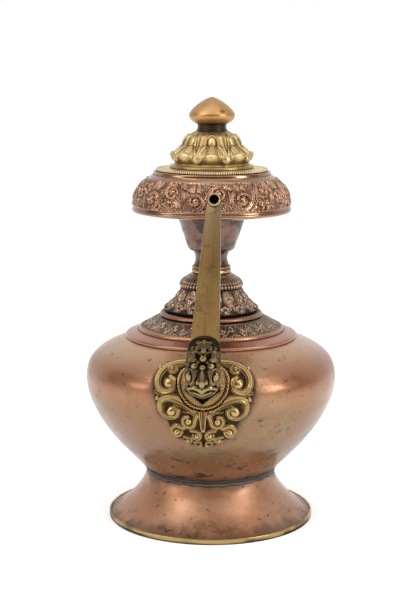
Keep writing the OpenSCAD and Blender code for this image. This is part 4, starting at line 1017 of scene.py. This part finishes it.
def hex_hole(phi):
    """Distance across the skin to the spout's side at the angle phi, found by halving."""
    root_3d = np.array([0, -ROOT[0], ROOT[1]])
    axis = np.array([0, -ROOT_DIR[0], ROOT_DIR[1]])
    lo, hi = np.full_like(phi, 0.7*ROOT_HEX), np.full_like(phi, 1.6*ROOT_HEX)
    want = ROOT_HEX*hex_at(phi, 0.0) + GAP
    for _ in range(20):
        mid = (lo + hi)/2
        q = skin(-mid*np.sin(phi), mid*np.cos(phi), np.zeros_like(mid)) - root_3d
        d = np.linalg.norm(q - (q@axis)[..., None]*axis, axis=-1)
        lo, hi = np.where(d < want, mid, lo), np.where(d < want, hi, mid)
    return hi


def polar_piece(name, phi, rho_in, rho_out, rows, finish, height, relief_of, base=GAP):
    """A plate on the body's skin between two outlines; height gives its face, f of the way out."""
    def place(f):
        rho = rho_in[:, None] + (rho_out - rho_in)[:, None]*f
        return -rho*np.sin(phi)[:, None], rho*np.cos(phi)[:, None]

    f = np.linspace(1, 0, rows)[None]
    x, t = place(f)
    h = height(x, t, f)
    back = skin(*place(np.linspace(0, 1, 6)[None]), base)
    verts = np.concatenate([skin(x, t, base + h), back], 1)
    relief = np.concatenate([relief_of(h, x, t), np.zeros(back.shape[:2])], 1)
    add_piece(name, verts, ring_quads(len(phi), verts.shape[1]), finish, relief, sharp=70)


def escutcheon_strokes():
    s = Strokes(0.13)
    # Upper side scroll: from behind the spout out along the edge and into its curl
    s.through([(9.3, 16.6), (18.6, 14.4), (26.4, 9.0), (30.4, 1.3), (29.4, -5.0), (25.0, -7.4),
               (20.0, -5.2), (18.6, 0.0), (21.6, 2.6)], 3.6, 1.9, 1.0, 0.16, 140)
    s.through([(9.0, 13.2), (15.6, 11.6), (20.6, 8.2)], 2.0, 1.2, 0.8, 0.2)
    s.balls((22.8, -1.6, 3.7, 1.15), (29.0, 9.0, 1.9, 1.12), (13.2, 10.2, 1.7, 0.95))
    # Lower side scroll with flutes on its inner side
    s.through([(5.4, -17.2), (13.6, -12.4), (22.6, -10.4), (28.2, -13.2), (27.6, -19.4), (22.4, -23.0),
               (17.4, -21.8), (16.0, -18.0), (18.8, -16.0)], 3.0, 1.7, 1.0, 0.16, 140)
    s.through([(6.6, -19.4), (12.6, -16.0), (18.4, -14.2)], 1.3, 0.9, 0.85, 0.2)
    s.through([(4.6, -21.2), (8.6, -19.4), (13.0, -18.4)], 1.3, 0.9, 0.85, 0.2)
    s.balls((20.8, -18.9, 3.4, 1.15), (30.2, -11.2, 1.6, 1.05))
    # Lower cluster of volutes
    s.through([(3.6, -21.0), (5.0, -24.0), (6.0, -28.0), (9.4, -29.2), (12.6, -27.0), (12.6, -23.2),
               (9.6, -22.2)], 2.3, 1.5, 1.0, 0.16, 110)
    s.through([(12.6, -30.0), (17.4, -28.6), (20.6, -31.4), (19.8, -35.4), (16.0, -36.4), (14.0, -33.6),
               (16.4, -31.8)], 2.2, 1.4, 1.0, 0.16, 110)
    s.through([(7.6, -31.6), (3.6, -32.6), (1.6, -35.8), (3.4, -38.8), (6.6, -37.6), (6.4, -35.0)],
              1.9, 1.2, 1.0, 0.16)
    s.through([(12.2, -37.0), (8.6, -37.6), (7.8, -40.6), (10.4, -42.0), (12.0, -40.0)],
              1.7, 1.1, 0.95, 0.16)
    s.through([(5.8, -41.4), (2.4, -41.2), (1.4, -43.8), (3.4, -45.2)], 1.5, 1.0, 0.95, 0.16)
    s.balls((9.4, -25.4, 2.4, 1.15), (17.2, -33.4, 2.3, 1.15), (4.2, -36.2, 2.0, 1.12),
            (10.0, -39.9, 1.6, 1.1))
    # Leaves along the edge, then curls and leaves that fill the ground between the scrolls
    s.leaves((13.5, 13.0, 16.5, 19.0, -0.18, 2.2, 0.95), (20.0, 11.0, 24.6, 15.0, -0.18, 2.0, 0.95),
             (3.5, 17.2, 8.4, 20.8, -0.12, 2.2, 0.95), (0.0, 17.2, 0.0, 21.8, 0.0, 2.2, 1.0),
             (26.0, -9.0, 32.8, -8.2, 0.12, 1.9, 0.95), (28.0, -15.0, 33.2, -13.4, 0.16, 2.0, 0.9),
             (27.6, -18.8, 29.6, -23.0, 0.16, 2.0, 0.9), (14.0, -36.8, 17.4, -40.0, 0.16, 1.6, 0.9),
             (20.6, -26.0, 23.4, -30.6, 0.16, 1.8, 0.9), (6.2, -42.8, 8.6, -44.8, 0.16, 1.3, 0.85),
             groove=0.3)
    s.spiral(21.0, 8.4, 3.6, 0.9, 2.3, 1.35, 1.7, 1.1, 1.0, 0.2)
    s.spiral(28.6, -9.6, 2.5, 0.7, 1.2, 1.2, 1.3, 0.9, 1.0, 0.2)
    s.balls((21.0, 8.4, 1.5, 1.1))
    s.leaves((25.6, 4.2, 20.6, 4.0, 0.2, 1.3, 0.85), (22.4, -13.2, 25.4, -17.4, 0.25, 1.5, 0.85),
             (17.0, 5.6, 16.6, -4.4, -0.16, 1.4, 0.8), (17.0, -8.6, 24.6, -8.4, -0.1, 1.2, 0.75),
             (13.4, -19.6, 14.4, -25.4, 0.16, 1.3, 0.8), (24.0, -15.4, 24.6, -18.8, 0.2, 1.2, 0.75),
             groove=0.3)
    both = s.mirrored().fuller(1.22)
    # Stem with two grooves, a drop at its end and a small leaf at the bottom
    n = 50
    y = np.linspace(-17.4, -30, n)
    both.line(np.stack([np.zeros(n), y], -1), np.linspace(3.4, 1.9, n), np.linspace(0.85, 1.0, n), 0.25)
    for k in (-1, 1):
        both.line(np.stack([k*np.linspace(2.3, 1.1, n), y], -1), 0.9, 1.08)
    both.balls((0, -31.2, 2.1, 1.15))
    both.leaves((0, -40.2, 0, -46.2, 0.0, 1.3, 0.95))
    return both


def build_escutcheon():
    n = 900
    phi = angles(n)
    strokes = escutcheon_strokes()
    # The outline follows the scrolls: the last place on each ray where one stands
    reach = 1.03*plate_reach(np.degrees(np.abs(signed(phi))))
    rho = PLATE_IN + (reach - PLATE_IN)[:, None]*np.linspace(0, 1, 60)[None]
    lit = strokes.height(-rho*np.sin(phi)[:, None], rho*np.cos(phi)[:, None]) > 0.12
    reach = np.clip(np.where(lit, rho, 0).max(1) + 0.4, PLATE_IN + 2, reach)
    reach = np.convolve(np.concatenate([reach[-2:], reach, reach[:2]]), np.ones(5)/5, "valid")

    def face(x, t, f):
        ground = 0.32 + 0.05*np.cos(2.4*x + 1.1*t)*np.cos(1.9*t - 0.8*x)
        return (0.6 + 3.3*np.maximum(strokes.height(x, t)**1.5, ground))*np.where(f > 0.985, 0.35, 1.0)

    # Dark ground and stroke sides and light stroke tops: patina and wear, with painted shade and highlight
    polar_piece("vis_escutcheon", phi, np.full(n, PLATE_IN), reach, 76, SCROLL_BRASS, face,
                lambda h, x, t: np.clip(0.06 + 0.94*(np.clip(h - 1.9, 0, None)/1.9)**1.3, 0, 1), base=2*GAP)

    # Twisted rope ring round the boss
    n, m, twists = 360, 20, 22
    phi, k = angles(n)[:, None], angles(m)[None]
    lay = np.abs(np.cos(1.5*k - twists*phi))**0.7
    r = ROPE_D/2*(0.78 + 0.22*lay)
    rho = ROPE_RHO + r*np.cos(k)
    verts = skin(-rho*np.sin(phi), rho*np.cos(phi), GAP + ROPE_D/2 + r*np.sin(k))
    add_piece("vis_rope_ring", verts, ring_quads(n, m)[:, ::-1], SCROLL_BRASS,
              np.clip(lay*0.9 + 0.05, 0, 1), sharp=80)

    # Ribbed boss with a hole for the spout
    rings, cords, hole_r, rib_run = 5, 58, 11, 4.0
    phi = angles(n)

    def ribs(x, t, f):
        rib = wave(TAU*(1 - f)*rings)
        cord = wave(cords*np.arctan2(x, t) + rings*(1 - f)*TAU)
        return BOSS_H*(1 - 0.72*f*f) - 0.5*(1 - rib) - 0.3*cord*rib - 1.0*(f > 0.99)

    polar_piece("vis_spout_boss", phi, hex_hole(signed(phi)), np.full(n, BOSS_R), 44, SCROLL_BRASS, ribs,
                lambda h, x, t: 0.75 + 0.25*np.cos(TAU*rings*(1 - (np.hypot(x, t) - hole_r)/rib_run)))


# Makara mask on the spout's front
def mask_strokes():
    m = Strokes()
    # Chin, mouth and the leaf over it
    m.arc([[0.0, 1.0], [4.0, 0.8], [8.0, 1.8], [11.0, 5.6]], 1.2, 0.9, 0.8, 0.0)
    m.arc([[0.0, 5.0], [2.2, 7.8], [5.6, 7.4], [8.8, 4.4]], 1.3, 0.9, 1.15, 0.0)
    m.arc([[0.0, 3.0], [2.5, 4.4], [4.6, 4.4], [7.0, 3.2]], 1.0, 0.7, 0.95, 0.0)
    # Cheeks
    m.spiral(8.3, 10.9, 4.2, 3.2, -1.4, 0.9, 0.9, 0.8, 0.85, 0.0)
    m.arc([[4.8, 8.8], [6.2, 7.4], [9.8, 7.6], [11.6, 10.2]], 1.2, 0.9, 0.8, 0.2)
    # Nose, eyes and brows
    m.leaves((0, 9.0, 0, 14.4, 0.0, 1.5, 1.0), (2.6, 13.8, 4.4, 9.2, 0.2, 1.0, 0.8), groove=0.0)
    m.arc([[3.6, 13.4], [5.8, 14.8], [8.8, 14.6], [11.2, 12.0]], 0.9, 0.7, 0.9, 0.0)
    m.balls((8.3, 10.9, 2.5, 1.2), (0, 8.9, 2.1, 1.1), (2.4, 9.6, 1.4, 0.95), (4.9, 16.6, 2.6, 1.15),
            (0, 16.2, 2.2, 1.1), (9.4, 16.4, 1.9, 1.0), (2.6, 19.2, 1.3, 0.9))
    m.leaves((10.9, 19.4, 7.2, 18.9, 0.15, 1.1, 0.9), groove=0.2)
    # Horn curls, forehead knob and the rows above them
    m.spiral(6.9, 22.6, 3.1, 0.9, -2.4, 1.35, 1.5, 1.1, 1.0, 0.2)
    m.arc([[1.4, 24.6], [3.6, 26.2], [7.0, 26.2], [10.0, 24.4]], 1.2, 1.0, 0.85, 0.2)
    m.balls((6.9, 22.6, 1.3, 1.05), (0, 21.8, 2.7, 1.15), (0, 26.8, 2.3, 1.1), (4.0, 28.0, 2.0, 1.0),
            (7.4, 27.4, 1.6, 0.9), (0, 32.6, 1.9, 1.05), (4.0, 31.6, 1.5, 0.9))
    m.leaves((3.4, 31.0, -3.4, 31.0, 0.12, 2.6, 1.05), groove=0.3)
    return m.mirrored()


def build_makara():
    mask_len, mask_from, side = 35.5, BOSS_H + 1.2, math.radians(62)
    cols, rows = 120, 180
    u = np.linspace(-1, 1, cols)[None]
    v = np.linspace(0, 1, rows)[:, None]
    s = mask_from + mask_len*v
    a = side*np.sqrt(np.clip(1 - (np.clip(v - 0.74, 0, 1)/0.268)**2, 0.05, 1))*u
    x, y = 12.4*a, mask_len*v
    brim = np.clip(gauss(np.abs(u) - 0.93, 0.05) + gauss(v - 0.985, 0.012), 0, 1)
    beads = 0.35 + 0.35*wave(TAU*(y + 0.8*np.abs(x))/1.7)
    h = np.maximum(mask_strokes().height(x, y), brim*beads*smooth(0.18, 0.26, v))
    swell = 0.5 + 1.1*gauss(v - 0.42, 0.3)*gauss(u, 0.6)
    edge = np.sqrt(np.clip(1 - np.abs(u)**10, 0, 1))*np.sqrt(np.clip(1 - np.abs(2*v - 1)**24, 0, 1))
    smile = gauss(y - 2.3 - 0.04*x*x, 0.7)*(np.abs(x) < 6.0)
    flats = 0.8*path_hex(s)*(1 - hex_at(a, 0.0))
    height = (0.4 + flats + swell + 2.5*h - 0.7*smile)*edge
    base = path_hex(s)*hex_at(a, 0.0) + 1.2*GAP/COS_30
    front, back = round_path(s, a, base + np.maximum(height, 0.05)), round_path(s, a, base)
    relief = 0.05 + 0.07*smooth(0.5, 0.3, v) + (0.75 + 0.25*smooth(0.45, 0.2, v))*h**1.4 - 0.3*smile
    # A closed skin: rows of front and back, with the lowest and the highest row filled
    w = 2*cols
    i, k = np.meshgrid(np.arange(rows - 1), np.arange(w), indexing="ij")
    k2 = (k + 1) % w
    quads = np.stack([i*w + k, i*w + k2, (i + 1)*w + k2, (i + 1)*w + k], -1).reshape(-1, 4)
    c = np.arange(cols - 1)
    low = np.stack([c, w - 1 - c, w - 2 - c, c + 1], -1)
    top = (rows - 1)*w + low[:, ::-1]
    add_piece("vis_makara_head", np.concatenate([front, back[:, ::-1]], 1),
              np.concatenate([quads, low, top]), BRONZE,
              np.concatenate([np.clip(relief, 0, 1), np.zeros(h.shape)], 1), sharp=75)


# Lid
def build_lid():
    n, notches = 750, 150
    top = Z_FLANGE + FLANGE_H
    path = outline([[STEM_R + GAP, Z_FLANGE], [FLANGE_R, Z_FLANGE], [FLANGE_R, top], [STEM_R + GAP, top]],
                   0.45, 5, 0.9)
    th, r, z = around(n, path)
    upper = z > Z_FLANGE + 0.5*FLANGE_H
    notch = (1 - np.abs(np.sin(notches/2*th))**1.2)*smooth(FLANGE_R - 1.6, FLANGE_R - 0.5, r)
    rim = smooth(FLANGE_R - 1.6, FLANGE_R - 0.5, r) - notch
    dished = smooth(BASE_R + 0.4, BASE_R + 1.6, r)*smooth(FLANGE_R - 1.2, FLANGE_R - 2.0, r)*upper
    # A painted shadow line inside the raised edge, painted shade underneath and next to the base ring, dark
    # notches and stains
    relief = np.clip(0.85 + 0.15*rim - 1.15*notch - 0.4*gauss(r - (FLANGE_R - 2.3), 0.5)*upper, 0, 1)
    grime_and_shade = 0.3*smooth(BASE_R + 1.6, BASE_R + 0.3, r)*upper + 0.6*smooth(Z_FLANGE + 0.4, Z_FLANGE, z)
    stains = 0.2*smooth(0.3, 1.1, wobble(th, r, 1.4, 95, 16)) + 0.22*gauss(r - (BASE_R + 3.2), 0.35)
    grime_and_shade = np.clip(grime_and_shade + upper*smooth(BASE_R - 1, BASE_R + 0.5, r)*stains, 0, 1)
    turned("vis_lid_flange", path, PALE_BRASS, n, -0.4*notch - 0.55*dished, relief, grime_and_shade, body="lid")

    n = 192
    out_r, low, high, wall = MOUTH_BORE - LID_PLAY, Z_FLANGE - GAP - SLEEVE_H, Z_FLANGE - GAP, 1.2
    path = outline([[out_r - wall, low], [out_r, low], [out_r, high], [out_r - wall, high]], 0.4, 4, 1.2)
    th, r, z = around(n, path)
    # Scuffs, and painted shade towards the top under the flange
    scuffs_and_shade = 0.35*(0.5 + 0.5*np.sin(3*th + 0.9*z)) + 0.2*smooth(high - 2, high, z)
    turned("vis_lid_sleeve", path, BRASS, n, wobble(th, z, 0.03, 81), grime_and_shade=scuffs_and_shade, body="lid")

    n = 480
    path = moulding(BASE_R - 6, BASE_R, Z_BASE, BASE_H, 22, (-0.8, 0), (0.4, 0.2), (0.3, 0.9), (-1.2, 1))
    th, r, z = around(n, path)
    mid = (z - Z_BASE)/BASE_H
    line = gauss(mid - 0.62, 0.07)
    # Painted shade at the bottom on the flange and at the top under the lotus; the groove line dark
    relief = np.clip(0.8 - 0.6*line - 0.3*smooth(0.25, 0.05, mid) - 0.2*smooth(0.9, 1.0, mid), 0, 1)
    turned("vis_lid_base_ring", path, BRASS, n, -0.25*line + wobble(th, z, 0.04, 83), relief, body="lid")

    build_lotus()
    n = 192
    path = moulding(STEM_R + GAP, DARK_R, Z_DARK, DARK_H, 40, (1.2, 0), (-0.4, 0.3), (-0.4, 0.7), (0.4, 1))
    th, r, z = around(n, path)
    thread = wave(TAU*(z - Z_DARK)/1.25)
    turned("vis_lid_collar", path, BLACK, n, -0.28*(1 - thread)*smooth(Z_DARK + 0.2, Z_DARK + 0.6, z),
           np.clip(0.2 + 0.72*thread, 0, 1), body="lid")

    n = 224
    wide_z, top, bore = Z_KNOB + 0.32*KNOB_H, Z_KNOB + KNOB_H, Z_KNOB + 0.5*KNOB_H + GAP
    under = [[DARK_R + 0.4, Z_KNOB], [0.83*KNOB_R, Z_KNOB + 0.04*KNOB_H], [KNOB_R, Z_KNOB + 0.18*KNOB_H],
             [KNOB_R, wide_z]]
    over = [[KNOB_R, wide_z], [KNOB_R, wide_z + 0.19*KNOB_H], [0.47*KNOB_R, Z_KNOB + 0.88*KNOB_H],
            [1.2, top - 0.1]]
    face = np.concatenate([curve(under, 26), curve(over, 44)[1:]])
    path = np.concatenate([[[STEM_R + GAP, Z_KNOB]], face, [[0, top], [0, bore], [STEM_R + GAP, bore]]])
    th, r, z = around(n, path)
    out = np.zeros(len(path))
    out[2:len(face)] = 1
    dent = gauss(((th + math.pi) % TAU - math.pi) - 0.62, 0.16)*gauss(z - (Z_KNOB + 0.5*KNOB_H), 1.4)
    disp = wobble(th, z, 0.1, 91)*smooth(Z_KNOB, Z_KNOB + 3, z)*smooth(top - 0.5, top - 4, z) - 0.5*dent
    # Painted shade at the bottom against the collar, and the dent dark
    grime_and_shade = np.clip(0.7*smooth(Z_KNOB + 1.6, Z_KNOB + 0.2, z)*out + 0.75*dent, 0, 1)
    turned("vis_lid_knob", path, KNOB, n, disp*out, grime_and_shade=grime_and_shade, weld=True, body="lid")


def build_lotus():
    """Eight large petals with round heads, eight small ones between them; the heads run over the top."""
    n, rows, low_rows, top_rows, turn_at = 768, 84, 14, 22, 0.9
    side = [[LOTUS_R, Z_LOTUS + 0.3*LOTUS_H], [0.534*LOTUS_R, Z_LOTUS + 0.85*LOTUS_H],
            [0.895*LOTUS_R, Z_LOTUS + 0.29*LOTUS_H], [0.6*LOTUS_R, Z_LOTUS + 0.95*LOTUS_H]]
    s = np.linspace(0, turn_at, rows)
    lower = np.linspace([LOTUS_R - 1.8, Z_LOTUS], [LOTUS_R, Z_LOTUS + 0.3*LOTUS_H], low_rows + 1)[:-1]
    lower[:, 0] += 0.9*np.sin(np.linspace(0, math.pi, low_rows + 1)[:-1])
    edge, lean = bez(side, turn_at), bez_dir(side, turn_at)
    over = [edge, edge + 2.9*lean, [0.53*LOTUS_R, Z_LOTUS + 0.99*LOTUS_H],
            [0.35*LOTUS_R, Z_LOTUS + 1.02*LOTUS_H]]
    face = np.concatenate([lower, bez(side, s), curve(over, top_rows)[1:]])
    back = np.array([[0.34*LOTUS_R, Z_LOTUS + LOTUS_H], [0.4*LOTUS_R, Z_LOTUS + 0.74*LOTUS_H],
                     [0.72*LOTUS_R, Z_LOTUS + 0.2*LOTUS_H], [LOTUS_R - 3.4, Z_LOTUS]])
    path = np.concatenate([face, back])
    # sv runs up the face: below 0 the tips, to 0.9 the petals, to 1.3 the top
    sv = np.concatenate([np.linspace(-0.34, 0, low_rows + 1)[:-1], s,
                         np.linspace(turn_at, 1.3, top_rows + 1)[1:], np.full(len(back), 1.3)])[None]
    on_face = np.zeros(len(path))
    on_face[1:len(face) - 1] = 1
    p = ((angles(n)[:, None]*LID_PETALS/TAU + 0.5) % 1 - 0.5)*2
    a = np.abs(p)
    q = 1 - a
    ground = 1.45 + 0.7*smooth(0.1, -0.08, sv) - 0.5*smooth(0.85, 1.15, sv)
    border = 0.5 + 0.34*smooth(0.5, 0.0, sv)**1.7
    arch = ((a/border)**3 + np.clip((sv - 0.66)/0.4, 0, None)**3)**(1/3)
    head = 1.9*np.sqrt(np.clip(1 - (p/0.4)**2 - ((sv - 0.83)/0.21)**2, 0, 1))
    tongue = np.clip(1 - (a/(0.26 + 0.1*smooth(0.55, 0.05, sv)))**3, 0, 1)**0.6
    tongue = 1.35*tongue*smooth(-0.02, 0.12, sv)*smooth(0.72, 0.6, sv)
    keel = 0.35*gauss(p, 0.05)*smooth(0.0, 0.1, sv)*smooth(0.6, 0.4, sv)
    ridge = (2.1 - 0.9*smooth(0.8, 1.05, sv))*gauss(arch - 1, 0.13)*smooth(-0.06, 0.06, sv)
    ridge = ridge + 1.2*gauss(arch - 0.64, 0.1)*smooth(-0.02, 0.1, sv)*smooth(0.7, 0.5, sv)
    small = (1.6 - 0.4*smooth(0.6, 1.0, sv))*gauss(q, 0.15)*smooth(1.25, 0.95, sv)
    tip = np.clip(1 - (a/(0.36 + 0.18*smooth(-0.36, 0.02, sv)))**2, 0, 1)**0.8
    tip = (2.5 + 0.5*gauss(p, 0.1))*tip*smooth(0.1, 0.03, sv)*(0.16 + 0.84*smooth(-0.36, 0.03, sv))
    small_tip = 2.1*np.clip(1 - (q/0.34)**2 - ((sv + 0.13)/0.21)**2, 0, 1)**0.5
    high = np.maximum.reduce([tongue + keel, head, ridge, small, tip, small_tip])
    disp = (high - ground)*smooth(1.3, 1.1, sv)*on_face
    # Darker low down between the tips, painted shade under their overhang; lighter over the top
    relief = 0.34 + 0.31*high - 0.2*smooth(0.0, -0.2, sv)*(high < 1.0) + 0.25*smooth(1.0, 1.2, sv)
    turned("vis_lid_lotus", path, LOTUS_BRASS, n, disp, np.clip(relief, 0, 1)*on_face + 0.4*(1 - on_face),
           turn=LID_TURN, body="lid")


for build in (build_foot, build_body, build_shoulder, build_cone, build_neck, build_dome, build_spout,
              build_escutcheon, build_makara, build_lid):
    build()
for kept, finish in (("knob_stem", BLACK), ("stem_washer", BRASS)):
    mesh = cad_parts[kept].data
    mesh.materials.clear()
    mesh.materials.append(finish[1])


# Stage, light and camera
def plain(name, color, glow):
    f = Finish(name)
    f.put(f.bsdf, Emission_Color=(1.0, 1.0, 1.0), Emission_Strength=glow, Specular_IOR_Level=0.0)
    return f.done(color, 0.9, 0.0)


def quad(name, corners, mat):
    mesh = bpy.data.meshes.new(name)
    mesh.from_pydata(corners, [], [(0, 1, 2, 3)])
    mesh.materials.append(mat)
    obj = bpy.data.objects.new(name, mesh)
    bpy.context.scene.collection.objects.link(obj)
    return obj


FLOOR = 4
quad("floor", [(-FLOOR, -FLOOR, 0), (FLOOR, -FLOOR, 0), (FLOOR, FLOOR, 0), (-FLOOR, FLOOR, 0)],
     plain("floor_white", (0.9, 0.9, 0.9), 0.1))
# Grey cards that only the metal mirrors
CARD_LOW, CARD_HIGH, CARD_OUT = 0.16, 1.5, 1.8
card_grey = plain("card_grey", (0.26, 0.19, 0.15), 0.0)
card_ends = [(-CARD_OUT, 0.5), (-CARD_OUT, -0.9), (-0.9, -CARD_OUT), (0.9, -CARD_OUT), (CARD_OUT, -0.9),
             (CARD_OUT, 0.5)]
for i, (a, b) in enumerate(zip(card_ends, card_ends[1:])):
    card = quad("dark_card_%d" % i, [(*a, CARD_LOW), (*b, CARD_LOW), (*b, CARD_HIGH), (*a, CARD_HIGH)],
                card_grey)
    card.visible_camera = False
    card.visible_diffuse = False
    card.visible_shadow = False

world = bpy.data.worlds.new("studio")
bpy.context.scene.world = world
world.use_nodes = True
sky = world.node_tree
sky.nodes.clear()
white = sky.nodes.new("ShaderNodeBackground")
white.inputs[0].default_value = (1, 1, 1, 1)
white.inputs[1].default_value = 1.0
sky.links.new(white.outputs[0], sky.nodes.new("ShaderNodeOutputWorld").inputs[0])


def softbox(name, place, aim_z, size, power):
    data = bpy.data.lights.new(name, "AREA")
    data.shape = "RECTANGLE"
    data.size, data.size_y = size
    data.energy = power
    obj = bpy.data.objects.new(name, data)
    bpy.context.scene.collection.objects.link(obj)
    obj.location = place
    obj.rotation_euler = (Vector((0, 0, aim_z)) - Vector(place)).to_track_quat("-Z", "Y").to_euler()


softbox("key_left", (-1.0, -0.8, 1.35), 0.14, (0.7, 0.9), 7.8)
softbox("fill_right", (1.1, -0.6, 1.2), 0.14, (0.6, 0.9), 4.8)
softbox("top", (0.0, -0.45, 1.5), 0.1, (1.7, 1.4), 7.0)
softbox("low_right", (1.14, -0.6, 0.48), 0.12, (0.4, 0.36), 5.0)
softbox("low_left", (-1.25, -0.62, 0.46), 0.12, (0.4, 0.36), 2.6)

# The camera fitted to the photo: focal length and height of the picture in pixels, distances in metres
FOCAL_PX, IMAGE_H, SENSOR, DIST, EYE_Z = 1457.5, 592, 36.0, 1.0219, 0.3356
PITCH, AZIMUTH, YAW, ROLL = (math.radians(d) for d in (9.772, 3.3, 0.25, 0.2))
cam_data = bpy.data.cameras.new("camera")
cam_data.sensor_fit = "VERTICAL"
cam_data.sensor_height = SENSOR
cam_data.lens = FOCAL_PX/IMAGE_H*SENSOR
cam_data.clip_start, cam_data.clip_end = 0.05, 30.0
cam = bpy.data.objects.new("camera", cam_data)
bpy.context.scene.collection.objects.link(cam)
turn = Matrix.Rotation(AZIMUTH + YAW, 4, "Z") @ Matrix.Rotation(math.pi/2 - PITCH, 4, "X")
place = Matrix.Translation((DIST*math.sin(AZIMUTH), -DIST*math.cos(AZIMUTH), EYE_Z))
cam.matrix_world = place @ turn @ Matrix.Rotation(ROLL, 4, "Z")
bpy.context.scene.camera = cam
bpy.context.scene.view_settings.view_transform = "Standard"
